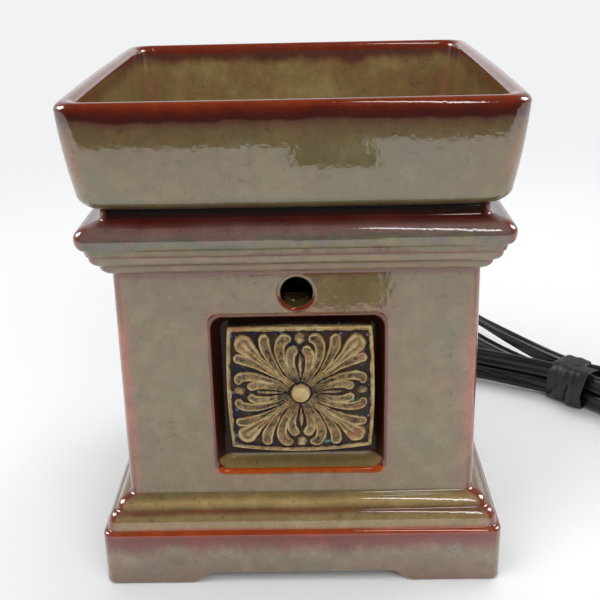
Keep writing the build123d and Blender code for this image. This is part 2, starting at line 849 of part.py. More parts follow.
def right_half(height):
    """Stations from the near waist round the right fold to the far waist, on one layer."""
    return [
        ("arc", (0, -waist_half, height)),
        ("arc", (-flare_along, -flare_across, height)),
        ("line", (-fold_along, -fold_across, height)),
        ("arc", (-fold_end, 0, height)),
        ("arc", (-fold_along, fold_across, height)),
        ("line", (-flare_along, flare_across, height)),
        ("arc", (0, waist_half, height)),
    ]


hank_stations = [("start", (hank_start, -start_across, lower_layer))]
hank_stations += [("line", (flare_along, -flare_across, lower_layer))]
hank_stations += right_half(lower_layer)
hank_stations += [
    ("arc", (flare_along, flare_across, lower_layer)),
    ("line", (hank_climb_start, climb_across, lower_layer)),
    ("arc", (climb_middle_along, climb_middle_across, (lower_layer + upper_layer) / 2)),
    ("arc", (fold_along, fold_across, upper_layer)),
    ("arc", (fold_end, 0, upper_layer)),
    ("arc", (fold_along, -fold_across, upper_layer)),
    ("line", (flare_along, -flare_across, upper_layer)),
]
hank_stations += right_half(upper_layer)
hank_stations += [
    ("arc", (tail_flare_along, tail_flare_across, upper_layer)),
    ("line", (tail_end_along, tail_end_across, upper_layer)),
]

with BuildPart() as cord_hank:
    with BuildLine() as hank_route:
        edge = None
        corner = on_hank(*hank_stations[0][1])
        for kind, station in hank_stations[1:]:
            point = on_hank(*station)
            if kind == "line":
                edge = Line(corner, point)
            else:
                edge = TangentArc(corner, point, tangent=edge % 1)
            corner = point
    hank_line = hank_route.wires()[0]
    add(lead_section(hank_line, cord_diameter))
    sweep(path=hank_line)
save(cord_hank, "cord_hank")
section_area = pi * cord_diameter ** 2 / 4
print(
    "cord_hank volume", round(cord_hank.part.volume), "section x length",
    round(section_area * hank_line.length), "length", round(hank_line.length, 1),
    cord_hank.part.is_valid,
)

# Least gap between the hank's strands, on points along its route
sample_step = 2.5
sample_count = int(hank_line.length / sample_step)
samples = [hank_line @ (i / sample_count) for i in range(sample_count + 1)]
apart = int(3 * cord_diameter / sample_step)
least = min(
    (samples[i] - samples[j]).length
    for i in range(len(samples))
    for j in range(i + apart, len(samples))
)
print("hank's least gap to itself", round(least - cord_diameter, 2))

# Tie: a band round the four strands at the waist
tie_flare = hank_waist_radius * (1 - cos(tie_length / 2 / hank_waist_radius))
tie_inner_half = waist_half + tie_flare + cord_diameter / 2 + tie_clearance
tie_foot = lower_layer - cord_diameter / 2 - tie_clearance
tie_head = upper_layer + cord_diameter / 2 + tie_clearance
tie_middle = (tie_foot + tie_head) / 2
tie_inner_height = tie_head - tie_foot
tie_plane = Plane(
    origin=on_hank(-tie_length / 2, 0, tie_middle),
    x_dir=(-sin(heading), cos(heading), 0),
    z_dir=(cos(heading), sin(heading), 0),
)
tie_under = tie_foot - 0.1
with BuildPart() as cord_tie:
    with BuildSketch(tie_plane):
        with Locations((0, (tie_thickness - tie_under) / 2)):
            RectangleRounded(
                2 * (tie_inner_half + tie_thickness),
                tie_inner_height + tie_thickness + tie_under,
                3.0,
            )
        RectangleRounded(2 * tie_inner_half, tie_inner_height, 2.5, mode=Mode.SUBTRACT)
    extrude(amount=tie_length)
save(cord_tie, "cord_tie")


# ---------------------------------------------------------------- in-line switch

line_angle = heading + side_angle - pi
line_x = cos(line_angle)
line_y = sin(line_angle)
fold_corner = on_hank(fold_along, -fold_across, 0)


def on_line(distance, height):
    """Point on the straight lead between switch and hank, at a distance past the hank's fold."""
    return (fold_corner[0] - distance * line_x, fold_corner[1] - distance * line_y, height)


switch_axis_height = switch_height / 2
switch_half_length = switch_length / 2
switch_plane = Plane(
    origin=on_line(switch_from_fold, 0), x_dir=(line_x, line_y, 0), z_dir=(0, 0, 1)
)
slot_half = wheel_thickness / 2 + wheel_clearance
screw_offset = switch_screw_spacing / 2
screw_head_foot = switch_height - switch_screw_head_height


def switch_half(foot, head, outer_side):
    """One half of the housing: narrow noses, a slot for the wheel, bores for axle and screws."""
    half_width = switch_width / 2
    half_nose = switch_nose_width / 2
    shoulder = switch_half_length / 2
    bulge = (
        (switch_half_length + shoulder) / 2,
        (half_nose + half_width) / 2 + switch_shoulder_bulge,
    )
    with BuildPart() as half:
        with BuildSketch(switch_plane.offset(foot)):
            with BuildLine():
                Line((0, half_width), (shoulder, half_width))
                ThreePointArc((shoulder, half_width), bulge, (switch_half_length, half_nose))
                Line((switch_half_length, half_nose), (switch_half_length, 0))
                mirror(about=Plane.XZ)
                mirror(about=Plane.YZ)
            make_face()
        extrude(amount=head - foot)
        outer_rim = half.faces().sort_by(Axis.Z)[outer_side].outer_wire().edges()
        fillet(outer_rim, radius=switch_edge_radius)
        with BuildSketch(switch_plane.offset(switch_axis_height - slot_half)):
            with Locations((0, wheel_offset)):
                Circle(wheel_diameter / 2 + wheel_clearance)
        extrude(amount=2 * slot_half, mode=Mode.SUBTRACT)
        with BuildSketch(switch_plane.offset(switch_wall)):
            with Locations((0, wheel_offset)):
                Circle(axle_diameter / 2)
        extrude(amount=switch_height - 2 * switch_wall, mode=Mode.SUBTRACT)
        with BuildSketch(switch_plane.offset(switch_wall)):
            with Locations((-screw_offset, 0), (screw_offset, 0)):
                Circle(switch_screw_diameter / 2)
        extrude(amount=switch_height, mode=Mode.SUBTRACT)
        with BuildSketch(switch_plane.offset(screw_head_foot)):
            with Locations((-screw_offset, 0), (screw_offset, 0)):
                Circle(switch_screw_head_diameter / 2 + thread_clearance)
        extrude(amount=switch_height, mode=Mode.SUBTRACT)
    return half


switch_lower = switch_half(0, switch_axis_height, 0)
save(switch_lower, "switch_lower")
switch_upper = switch_half(switch_axis_height, switch_height, -1)
save(switch_upper, "switch_upper")

with BuildPart() as switch_wheel:
    with BuildSketch(switch_plane.offset(switch_axis_height - wheel_thickness / 2)):
        with Locations((0, wheel_offset)):
            Circle(wheel_diameter / 2)
            Circle(axle_diameter / 2 + axle_clearance, mode=Mode.SUBTRACT)
            with PolarLocations(wheel_diameter / 2, wheel_notches):
                Circle(wheel_notch_radius, mode=Mode.SUBTRACT)
    extrude(amount=wheel_thickness)
save(switch_wheel, "switch_wheel")

with BuildPart() as switch_axle:
    with BuildSketch(switch_plane.offset(switch_wall)):
        with Locations((0, wheel_offset)):
            Circle(axle_diameter / 2)
    extrude(amount=switch_height - 2 * switch_wall)
save(switch_axle, "switch_axle")

with BuildPart() as switch_screws:
    with BuildSketch(switch_plane.offset(switch_wall)):
        with Locations((-screw_offset, 0), (screw_offset, 0)):
            Circle(switch_screw_diameter / 2)
    extrude(amount=screw_head_foot - switch_wall)
    with BuildSketch(switch_plane.offset(screw_head_foot)):
        with Locations((-screw_offset, 0), (screw_offset, 0)):
            Circle(switch_screw_head_diameter / 2)
    extrude(amount=switch_screw_head_height)
    with BuildSketch(switch_plane.offset(switch_height - switch_screw_slot_depth)):
        with Locations((-screw_offset, 0), (screw_offset, 0)):
            Rectangle(switch_screw_slot_width, 2 * switch_screw_head_diameter)
    extrude(amount=switch_height, mode=Mode.SUBTRACT)
save(switch_screws, "switch_screws")


# ---------------------------------------------------------------- free lead and plug

def lay_lead(points, name):
    """Tube along a route of runs and arcs, saved, with its radii and volume printed."""
    radii = round_route(points)
    with BuildPart() as lead:
        with BuildLine() as route:
            FilletPolyline(*points, radius=radii)
        wire = route.wires()[0]
        add(lead_section(wire, cord_diameter))
        sweep(path=wire)
    save(lead, name)
    print(
        name, "radii", [round(radius, 1) for radius in radii],
        "length", round(wire.length, 1), "volume", round(lead.part.volume),
        "section x length", round(section_area * wire.length),
    )


floor_line = cord_diameter / 2
lay_lead(
    [
        (0, bushing_tip, cord_exit_height),
        (0, bushing_tip + 11.5, cord_exit_height),
        (-8.0, 106.5, 7.2),
        (-21.0, 111.0, 4.2),
        (-40.0, 108.5, floor_line),
        (-62.0, 106.1, floor_line),
        (-77.3, 123.5, floor_line),
        (-72.4, 146.2, 4.4),
        on_line(switch_from_fold + switch_half_length + 21.0, switch_axis_height),
        on_line(switch_from_fold + switch_half_length, switch_axis_height),
    ],
    "cord_lead",
)
lay_lead(
    [
        on_line(switch_from_fold - switch_half_length, switch_axis_height),
        on_line(17.0, switch_axis_height),
        on_line(6.0, lower_layer),
        on_hank(hank_start, -start_across, lower_layer),
    ],
    "cord_mid",
)

tail_heading = heading - tail_angle
plug_angle = radians(plug_heading)
plug_axis_height = plug_height / 2
hank_end = Vector(*on_hank(tail_end_along, tail_end_across, upper_layer))
hank_out = hank_end + 14.0 * Vector(cos(tail_heading), sin(tail_heading), 0)
plug_end = Vector(plug_tail_x, plug_tail_y, plug_axis_height)
plug_direction = Vector(cos(plug_angle), sin(plug_angle), 0)
lay_lead(
    [
        hank_end,
        hank_out,
        Vector(56.5, 168.5, 9.0),
        Vector(39.5, 179.0, 5.0),
        plug_end - 15.0 * plug_direction - Vector(0, 0, 1.0),
        plug_end - 7.0 * plug_direction,
        plug_end,
    ],
    "cord_tail",
)

plug_across = Plane(origin=plug_end, x_dir=(-plug_direction.Y, plug_direction.X, 0), z_dir=plug_direction)
with BuildPart() as plug_body:
    with BuildSketch(plug_across):
        Circle(plug_tail_diameter / 2)
    with BuildSketch(plug_across.offset(plug_tail_length)):
        RectangleRounded(plug_width, plug_height, plug_side_radius)
    loft()
    with BuildSketch(plug_across.offset(plug_tail_length)):
        RectangleRounded(plug_width, plug_height, plug_side_radius)
    extrude(amount=plug_length)
    plug_axis = Axis(plug_end, plug_direction)
    front_rim = plug_body.faces().sort_by(plug_axis)[-1].edges()
    fillet(front_rim, radius=plug_edge_radius)
save(plug_body, "plug_body")

blade_foot = plug_tail_length + plug_length
with BuildPart() as plug_blades:
    for side, width in ((-1, blade_width_narrow), (1, blade_width_wide)):
        with BuildSketch(plug_across.offset(blade_foot)):
            with Locations((side * blade_spacing / 2, 0)):
                Rectangle(blade_thickness, width)
        extrude(amount=blade_length)
    tip_corners = plug_blades.edges().group_by(plug_axis)[-1].sort_by(Edge.length)[:4]
    chamfer(tip_corners, length=blade_tip_chamfer / 2)
save(plug_blades, "plug_blades")
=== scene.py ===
"""Wax melt warmer: glazed pedestal and dish, relief tile, lamp, lead, switch and plug."""
import bpy
import bmesh
from math import cos, exp, hypot, pi, radians, sin, sqrt
from mathutils import Matrix, Vector, noise


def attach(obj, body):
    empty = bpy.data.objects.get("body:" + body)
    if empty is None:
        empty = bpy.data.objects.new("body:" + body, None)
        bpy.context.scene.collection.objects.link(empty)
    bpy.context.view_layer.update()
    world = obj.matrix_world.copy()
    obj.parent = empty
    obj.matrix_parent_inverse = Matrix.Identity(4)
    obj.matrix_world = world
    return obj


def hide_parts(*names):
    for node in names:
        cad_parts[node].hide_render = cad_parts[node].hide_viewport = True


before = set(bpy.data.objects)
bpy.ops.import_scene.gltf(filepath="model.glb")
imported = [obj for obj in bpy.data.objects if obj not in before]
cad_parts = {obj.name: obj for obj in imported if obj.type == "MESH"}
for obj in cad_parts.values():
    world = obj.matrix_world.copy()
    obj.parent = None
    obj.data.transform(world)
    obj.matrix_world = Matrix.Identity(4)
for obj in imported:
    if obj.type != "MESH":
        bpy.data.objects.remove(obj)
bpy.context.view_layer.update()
MM = 0.001


# ---------------------------------------------------------------- camera

CAMERA_PLACE = (0.00527, -0.3239, 0.1989)
CAMERA_PITCH, CAMERA_YAW, CAMERA_ROLL = 0.372, -0.0159, -0.0226
CAMERA_LENS, CAMERA_SENSOR = 59.03, 36.0


def photo_camera():
    """Camera at the photograph's place and angle."""
    level = Vector((sin(CAMERA_YAW), cos(CAMERA_YAW), 0))
    right = Vector((cos(CAMERA_YAW), -sin(CAMERA_YAW), 0))
    up = Vector((0, 0, cos(CAMERA_PITCH))) + level * sin(CAMERA_PITCH)
    ahead = level * cos(CAMERA_PITCH) - Vector((0, 0, sin(CAMERA_PITCH)))
    lens_right = right * cos(CAMERA_ROLL) + up * sin(CAMERA_ROLL)
    lens_up = up * cos(CAMERA_ROLL) - right * sin(CAMERA_ROLL)
    data = bpy.data.cameras.new("camera")
    data.lens = CAMERA_LENS
    data.sensor_width = CAMERA_SENSOR
    data.clip_start = 0.01
    camera = bpy.data.objects.new("camera", data)
    turn = Matrix((lens_right, lens_up, -ahead)).transposed().to_4x4()
    camera.matrix_world = Matrix.Translation(CAMERA_PLACE) @ turn
    bpy.context.collection.objects.link(camera)
    bpy.context.scene.camera = camera


photo_camera()


# ---------------------------------------------------------------- small tools for materials

def tone(red, green, blue):
    """Linear colour from the eight-bit values it shows as."""
    def linear(value):
        share = value / 255
        return share / 12.92 if share <= 0.04045 else ((share + 0.055) / 1.055) ** 2.4
    return (linear(red), linear(green), linear(blue), 1.0)


class Network:
    """Nodes of a material or of the world, with short ways to add and join them."""

    def __init__(self, tree, coordinates):
        self.tree = tree
        self.nodes = tree.nodes
        self.place = self.nodes.new("ShaderNodeTexCoord").outputs[coordinates]

    def feed(self, socket, value):
        if isinstance(value, bpy.types.NodeSocket):
            self.tree.links.new(value, socket)
        elif value is not None:
            socket.default_value = value

    def maths(self, kind, first, second=None, clamp=False):
        node = self.nodes.new("ShaderNodeMath")
        node.operation = kind
        node.use_clamp = clamp
        self.feed(node.inputs[0], first)
        self.feed(node.inputs[1], second)
        return node.outputs[0]

    def times(self, product, *others):
        for other in others:
            product = self.maths("MULTIPLY", product, other)
        return product

    def plus(self, first, second):
        return self.maths("ADD", first, second)

    def minus(self, first, second):
        return self.maths("SUBTRACT", first, second)

    def larger(self, first, second):
        return self.maths("MAXIMUM", first, second)

    def size(self, value):
        return self.maths("ABSOLUTE", value)

    def length(self, across, up):
        """Distance of a point from the origin."""
        return self.maths("SQRT", self.plus(self.times(across, across), self.times(up, up)))

    def sway(self, value, reach):
        """A value between 0 and 1, spread over a reach about 0."""
        return self.times(self.minus(value, 0.5), reach)

    def axis(self, name):
        node = self.nodes.new("ShaderNodeSeparateXYZ")
        self.feed(node.inputs[0], self.place)
        return node.outputs[name]

    def ray(self, kind):
        return self.nodes.new("ShaderNodeLightPath").outputs[kind]

    def mix(self, share, under, over, kind="MIX", data="RGBA"):
        node = self.nodes.new("ShaderNodeMix")
        node.data_type = data
        node.blend_type = kind
        self.feed(node.inputs["Factor"], share)
        self.feed(node.inputs["A"], under)
        self.feed(node.inputs["B"], over)
        return node.outputs["Result"]


class Finish(Network):
    """A procedural material under construction, on its object's own coordinates."""

    def __init__(self, name):
        self.material = bpy.data.materials.new(name)
        self.material.use_nodes = True
        super().__init__(self.material.node_tree, "Object")
        self.shader = self.nodes["Principled BSDF"]

    def cloud(self, scale, detail=2.0, rough=0.5, stretch=None):
        """Soft noise, squeezed along each axis by its stretch."""
        place = self.place
        if stretch:
            node = self.nodes.new("ShaderNodeMapping")
            self.feed(node.inputs["Vector"], place)
            node.inputs["Scale"].default_value = stretch
            place = node.outputs[0]
        node = self.nodes.new("ShaderNodeTexNoise")
        self.feed(node.inputs["Vector"], place)
        for name, value in (("Scale", scale), ("Detail", detail), ("Roughness", rough)):
            node.inputs[name].default_value = value
        return node.outputs["Fac"]

    def cells(self, scale):
        """Distance from the nearest of many scattered points."""
        node = self.nodes.new("ShaderNodeTexVoronoi")
        self.feed(node.inputs["Vector"], self.place)
        node.inputs["Scale"].default_value = scale
        return node.outputs["Distance"]

    def rise(self, value, low, high):
        """0 below low, 1 above high, smooth between; falls instead where low is above high."""
        node = self.nodes.new("ShaderNodeMapRange")
        node.interpolation_type = "SMOOTHSTEP"
        self.feed(node.inputs["Value"], value)
        flip = low > high
        node.inputs["From Min"].default_value = high if flip else low
        node.inputs["From Max"].default_value = low if flip else high
        node.inputs["To Min"].default_value = 1.0 if flip else 0.0
        node.inputs["To Max"].default_value = 0.0 if flip else 1.0
        return node.outputs[0]

    def band(self, value, middle, half):
        """1 at the middle of a band, fading to 0 at its half width."""
        return self.rise(self.size(self.minus(value, middle)), half, half * 0.25)

    def banded(self, level, bottom, span, bands):
        """Colour by height, from (height in millimetres, colour) stops over a span of height."""
        node = self.nodes.new("ShaderNodeValToRGB")
        share = self.maths("DIVIDE", self.minus(level, bottom * MM), span * MM)
        self.feed(node.inputs[0], share)
        ramp = node.color_ramp
        while len(ramp.elements) < len(bands):
            ramp.elements.new(0.5)
        for element, (height, shade) in zip(ramp.elements, bands):
            element.position = (height - bottom) / span
            element.color = tone(*shade)
        return node.outputs[0]

    def stain(self, colour, shade, *shares):
        """Lay a shade over a colour, as far as the product of the shares says."""
        return self.mix(self.times(*shares), colour, tone(*shade))

    def attribute(self, name):
        node = self.nodes.new("ShaderNodeAttribute")
        node.attribute_name = name
        return node.outputs["Fac"]

    def relief(self, height, distance, strength=1.0):
        node = self.nodes.new("ShaderNodeBump")
        node.inputs["Strength"].default_value = strength
        node.inputs["Distance"].default_value = distance
        self.feed(node.inputs["Height"], height)
        return node.outputs[0]

    def surface(self, colour, rough, normal=None, **sockets):
        self.feed(self.shader.inputs["Base Color"], colour)
        self.feed(self.shader.inputs["Roughness"], rough)
        self.feed(self.shader.inputs["Normal"], normal)
        for name, value in sockets.items():
            title = name.replace("_", " ").title().replace("Ior", "IOR")
            self.feed(self.shader.inputs[title], value)
        return self.material


# ---------------------------------------------------------------- small tools for shapes

def put_away(bm, name, material, body):
    """Turn a finished bmesh into an object that rides on a body."""
    bmesh.ops.remove_doubles(bm, verts=bm.verts, dist=0.00001)
    bmesh.ops.recalc_face_normals(bm, faces=bm.faces)
    mesh = bpy.data.meshes.new(name)
    bm.to_mesh(mesh)
    bm.free()
    for face in mesh.polygons:
        face.use_smooth = True
    mesh.materials.append(material)
    piece = bpy.data.objects.new(name, mesh)
    bpy.context.collection.objects.link(piece)
    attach(piece, body)
    return piece


def even_shading(piece):
    """Let a piece's flat faces shade flat."""
    shade = piece.modifiers.new("even shading", "WEIGHTED_NORMAL")
    shade.keep_sharp = False


def extrude(bm, edges):
    """Extrude edges, and give the new vertices and the new edges that join them."""
    made = bmesh.ops.extrude_edge_only(bm, edges=edges)["geom"]
    verts = {item for item in made if isinstance(item, bmesh.types.BMVert)}
    return verts, [
        item for item in made
        if isinstance(item, bmesh.types.BMEdge) and all(vert in verts for vert in item.verts)
    ]


def rounded_square(bm, half, corner, steps, height=0.0):
    """Level face in the shape of a square with rounded corners."""
    start = bmesh.ops.create_grid(
        bm, x_segments=1, y_segments=1, size=half, matrix=Matrix.Translation((0, 0, height))
    )
    rounded = bmesh.ops.bevel(
        bm, geom=start["verts"], offset=corner, offset_type="OFFSET", segments=steps,
        profile=0.5, affect="VERTICES", material=-1,
    )
    return rounded["verts"][0].link_faces[0]


def square_ring(bm, half, corner, height, cuts=63, steps=7):
    """Ring of edges round a square with rounded corners, its sides cut into short lengths."""
    face = rounded_square(bm, half, corner, steps, height)
    sides = [edge for edge in face.edges if edge.calc_length() > half]
    bmesh.ops.subdivide_edges(bm, edges=sides, cuts=cuts)
    ring = list(face.edges)
    bmesh.ops.delete(bm, geom=[face], context="FACES_ONLY")
    return ring


def next_ring(bm, ring, corner, widen, height=None):
    """Extrude a ring of edges, widen it on all sides and set its height if one is given."""
    reach = max(abs(vert.co.x) for edge in ring for vert in edge.verts) - corner
    verts, edges = extrude(bm, ring)
    for vert in verts:
        vert.co.x += widen * max(-1.0, min(1.0, vert.co.x / reach))
        vert.co.y += widen * max(-1.0, min(1.0, vert.co.y / reach))
        if height is not None:
            vert.co.z = height
    return edges


def follow_profile(bm, ring, corner, half, stations):
    """Run a ring along (half width, height) stations and give back the last ring."""
    for new_half, height in stations:
        ring = next_ring(bm, ring, corner, new_half - half, height)
        half = new_half
    return ring


def quarter(start, end, first_level, steps=5):
    """Stations along a quarter ellipse between two points, level or upright at its start."""
    stations = []
    for i in range(1, steps + 1):
        turn = pi / 2 * i / steps
        if first_level:
            share_across, share_up = sin(turn), 1 - cos(turn)
        else:
            share_across, share_up = 1 - cos(turn), sin(turn)
        stations.append((
            start[0] + (end[0] - start[0]) * share_across,
            start[1] + (end[1] - start[1]) * share_up,
        ))
    return stations


def fill_ring(bm, *rings):
    """Fill the flat face between an outer ring and any rings inside it."""
    edges = [edge for ring in rings for edge in ring]
    bmesh.ops.triangle_fill(bm, use_beauty=True, use_dissolve=False, edges=edges)


# ---------------------------------------------------------------- pedestal's shape

CORNER = 3.2 * MM
BODY_FOOT, BODY_HEAD = 28.4 * MM, 103.0 * MM
FOOT_HALF, HEAD_HALF = 54.6 * MM, 54.1 * MM
ARCH_TOP, ARCH_INNER, ARCH_RUN = 3.7 * MM, 28.5 * MM, 6.5 * MM
NICHE_HALF, NICHE_MIDDLE, NICHE_DEPTH = 25.8 * MM, 62.2 * MM, 5.4 * MM
VENT_HEIGHT, VENT_RADIUS = 95.9 * MM, 4.6 * MM
LEAD_HOLE_HEIGHT, LEAD_HOLE_RADIUS = 10.6 * MM, 4.8 * MM
PLINTH_START, PLINTH_HALF, PLINTH_INNER = 62.1 * MM, 62.9 * MM, 56.6 * MM
CHAMBER_HALF, CHAMBER_BACKING = 47.8 * MM, 42.9 * MM
FLOOR_TOP, FLOOR_UNDER, NIPPLE_HOLE = 23.5 * MM, 18.0 * MM, 5.1 * MM
SEAT = 122.6 * MM


def wall_face(height):
    """How far the front wall stands from the middle at a height."""
    return FOOT_HALF + (HEAD_HALF - FOOT_HALF) * (height - BODY_FOOT) / (BODY_HEAD - BODY_FOOT)


def arch(place):
    """Height of the low arch between the feet at a place along a side."""
    share = (ARCH_INNER + ARCH_RUN - abs(place)) / ARCH_RUN
    share = max(0.0, min(1.0, share))
    return ARCH_TOP * share * share * (3 - 2 * share)


def cut_arches(bm, top):
    """Lift the plinth's lower edge into an arch along each side, and less further up."""
    for vert in bm.verts:
        if vert.co.z < top:
            along = vert.co.x if abs(vert.co.y) > abs(vert.co.x) else vert.co.y
            vert.co.z += arch(along) * (1 - vert.co.z / top)


def drop_flat_wall(bm, low, high, at, half):
    """Take out the flat part of a wall that faces the front or back, and give its outline."""
    flat = {
        face for face in bm.faces
        if low < face.calc_center_median().z < high
        and abs(face.calc_center_median().x) < half
        and abs(face.calc_center_median().y - at) < 0.8 * MM
    }
    edges = {edge for face in flat for edge in face.edges}
    rim = [edge for edge in edges if sum(face in flat for face in edge.link_faces) == 1]
    inner = [edge for edge in edges if edge not in rim]
    bmesh.ops.delete(bm, geom=list(flat), context="FACES_ONLY")
    bmesh.ops.delete(bm, geom=inner, context="EDGES")
    return rim


def hole_ring(bm, half, corner, place):
    """Upright ring of edges in the shape of a square with rounded corners."""
    turn = Matrix.Translation(place) @ Matrix.Rotation(pi / 2, 4, "X")
    face = rounded_square(bm, half, corner, 8)
    verts, ring = list(face.verts), list(face.edges)
    bmesh.ops.delete(bm, geom=[face], context="FACES_ONLY")
    bmesh.ops.transform(bm, matrix=turn, verts=verts)
    return ring


def round_ring(bm, radius, place, upright=True):
    """Ring of edges round a circle."""
    turn = Matrix.Rotation(pi / 2, 4, "X") if upright else Matrix.Identity(4)
    made = bmesh.ops.create_circle(
        bm, cap_ends=False, segments=40, radius=radius, matrix=Matrix.Translation(place) @ turn
    )
    return list({edge for vert in made["verts"] for edge in vert.link_edges})


def sink_ring(bm, ring, centre, shrink_x, shrink_z, to_y):
    """Extrude an upright ring of edges to a new depth while it draws in on all sides."""
    verts, edges = extrude(bm, ring)
    span_x = max(abs(vert.co.x - centre[0]) for vert in verts)
    span_z = max(abs(vert.co.z - centre[1]) for vert in verts)
    for vert in verts:
        vert.co.x = centre[0] + (vert.co.x - centre[0]) * (span_x - shrink_x) / span_x
        vert.co.z = centre[1] + (vert.co.z - centre[1]) * (span_z - shrink_z) / span_z
        vert.co.y = to_y
    return edges


def lip_in(bm, ring, middle, lip, face, steps):
    """Turn a ring into a wall over a soft lip."""
    for i in range(steps):
        turn, after = pi / 2 * i / steps, pi / 2 * (i + 1) / steps
        shrink = lip * (sin(after) - sin(turn))
        ring = sink_ring(bm, ring, middle, shrink, shrink, face + lip * (1 - cos(after)))
    return ring


def pedestal(glaze):
    """The glazed pedestal, with its mouldings, niche, vent, lamp chamber and hollow underside."""
    bm = bmesh.new()
    foot = square_ring(bm, PLINTH_START, CORNER, 0.0)
    outside = quarter((62.1, 0.0), (62.9, 0.9), True, 3)
    outside += [(62.9, 1.4), (62.9, 17.7)]
    outside += quarter((62.9, 17.7), (61.8, 18.9), False, 4)
    outside += [(61.55, 19.15)]
    outside += quarter((61.55, 19.5), (59.3, 24.4), False, 6)
    outside += [(58.75, 24.75)]
    outside += quarter((58.75, 25.0), (55.4, 28.05), False, 6)
    outside += [(54.75, 28.4), (54.6, 28.9), (54.59, 29.7), (54.11, 101.8), (54.1, 102.6)]
    outside += [(54.3, 103.0)]
    outside += quarter((54.7, 103.1), (57.3, 106.0), True, 5)
    outside += [(57.5, 106.4)]
    outside += quarter((58.0, 106.5), (59.7, 109.2), True, 5)
    outside += [(59.8, 109.6), (60.3, 109.75), (60.7, 111.5), (61.0, 111.8)]
    outside += quarter((61.0, 111.8), (62.6, 115.2), True, 6)
    outside += quarter((62.6, 115.4), (58.9, 118.6), False, 8)
    outside += [(57.2, 119.05), (56.3, 119.3), (56.0, 119.9), (56.0, 121.7)]
    outside += quarter((56.0, 121.8), (55.2, 122.6), False, 4)
    # Over the rim, down the lamp chamber and across its floor
    outside += [(48.6, 122.6), (47.8, 121.8), (47.8, 92.5), (47.8, 26.0), (46.0, 23.5)]
    ring = follow_profile(
        bm, foot, CORNER, PLINTH_START,
        [(width * MM, height * MM) for width, height in outside],
    )
    cut_arches(bm, 12 * MM)
    nipple = round_ring(bm, NIPPLE_HOLE, (0, 0, FLOOR_TOP), upright=False)
    fill_ring(bm, ring, nipple)
    lower, nipple = extrude(bm, nipple)
    bmesh.ops.translate(bm, vec=(0, 0, FLOOR_UNDER - FLOOR_TOP), verts=list(lower))
    under = next_ring(bm, foot, CORNER, -5.5 * MM)
    under = next_ring(bm, under, CORNER, 0.0, height=16.5 * MM)
    under = next_ring(bm, under, CORNER, -1.5 * MM, height=FLOOR_UNDER)
    fill_ring(bm, under, nipple)
    # Front wall with its niche and vent
    rim = drop_flat_wall(bm, 30 * MM, 102 * MM, -wall_face(NICHE_MIDDLE), 50.5 * MM)
    # A narrow flat strip round each hole keeps its lip from tilting the wall's shading
    niche_lip, vent_lip, flat = 1.4 * MM, 1.1 * MM, 0.5 * MM
    wall, vent_wall = -wall_face(NICHE_MIDDLE), -wall_face(VENT_HEIGHT)
    niche_outer = hole_ring(bm, NICHE_HALF + niche_lip + flat, 4.0 * MM, (0, wall, NICHE_MIDDLE))
    vent_outer = round_ring(bm, VENT_RADIUS + vent_lip + flat, (0, vent_wall, VENT_HEIGHT))
    niche = sink_ring(bm, niche_outer, (0.0, NICHE_MIDDLE), flat, flat, wall)
    vent = sink_ring(bm, vent_outer, (0.0, VENT_HEIGHT), flat, flat, vent_wall)
    for vert in {vert for edge in niche_outer + vent_outer + niche + vent for vert in edge.verts}:
        vert.co.y = -wall_face(vert.co.z)
    fill_ring(bm, rim, niche_outer, vent_outer)
    middle = (0.0, NICHE_MIDDLE)
    niche = lip_in(bm, niche, middle, niche_lip, wall, 6)
    niche = sink_ring(bm, niche, middle, 1.5 * MM, 1.5 * MM, wall + NICHE_DEPTH - 0.9 * MM)
    niche = sink_ring(bm, niche, middle, 0.4 * MM, 0.4 * MM, wall + NICHE_DEPTH - 0.2 * MM)
    niche = sink_ring(bm, niche, middle, 0.7 * MM, 0.7 * MM, wall + NICHE_DEPTH)
    bmesh.ops.contextual_create(bm, geom=niche)
    middle = (0.0, VENT_HEIGHT)
    vent = lip_in(bm, vent, middle, vent_lip, vent_wall, 4)
    rim = drop_flat_wall(bm, 93 * MM, 121.5 * MM, -CHAMBER_HALF, 44.3 * MM)
    vent = sink_ring(bm, vent, middle, 0.0, 0.0, -CHAMBER_HALF)
    fill_ring(bm, rim, vent)
    # Way out for the lead through the back of the plinth
    rim = drop_flat_wall(bm, 5 * MM, 16 * MM, PLINTH_HALF, 59.3 * MM)
    outer = round_ring(bm, LEAD_HOLE_RADIUS, (0, PLINTH_HALF, LEAD_HOLE_HEIGHT))
    fill_ring(bm, rim, outer)
    rim = drop_flat_wall(bm, 3 * MM, 16 * MM, PLINTH_INNER, 52.9 * MM)
    inner = sink_ring(bm, outer, (0.0, LEAD_HOLE_HEIGHT), 0.0, 0.0, PLINTH_INNER)
    fill_ring(bm, rim, inner)
    # Thickening of the wall behind the niche
    middle = (0.0, NICHE_MIDDLE)
    back = hole_ring(bm, 29.8 * MM, 3.0 * MM, (0, -CHAMBER_BACKING, NICHE_MIDDLE))
    sunk = sink_ring(bm, back, middle, 0.7 * MM, 0.7 * MM, 0.7 * MM - CHAMBER_BACKING)
    bmesh.ops.contextual_create(bm, geom=sunk)
    sink_ring(bm, back, middle, 0.0, 0.0, -0.05 * MM - CHAMBER_HALF)
    piece = put_away(bm, "glazed_pedestal", glaze, "warmer")
    even_shading(piece)
    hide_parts("warmer_base")
    return piece


# ---------------------------------------------------------------- dish's shape

def bow(bm, half, swell):
    """Draw the corners of a square form in, so that its sides swell between them."""
    for vert in bm.verts:
        x, y = vert.co.x / half, vert.co.y / half
        vert.co.x -= swell * x * y * y
        vert.co.y -= swell * y * x * x


DISH_FOOT = 55.4


def side_of_dish(height):
    """Half width of the dish at a height above its seat, in millimetres."""
    share = height / 15.65
    return 60.9 + 3.5 * share - 0.7 * share * share


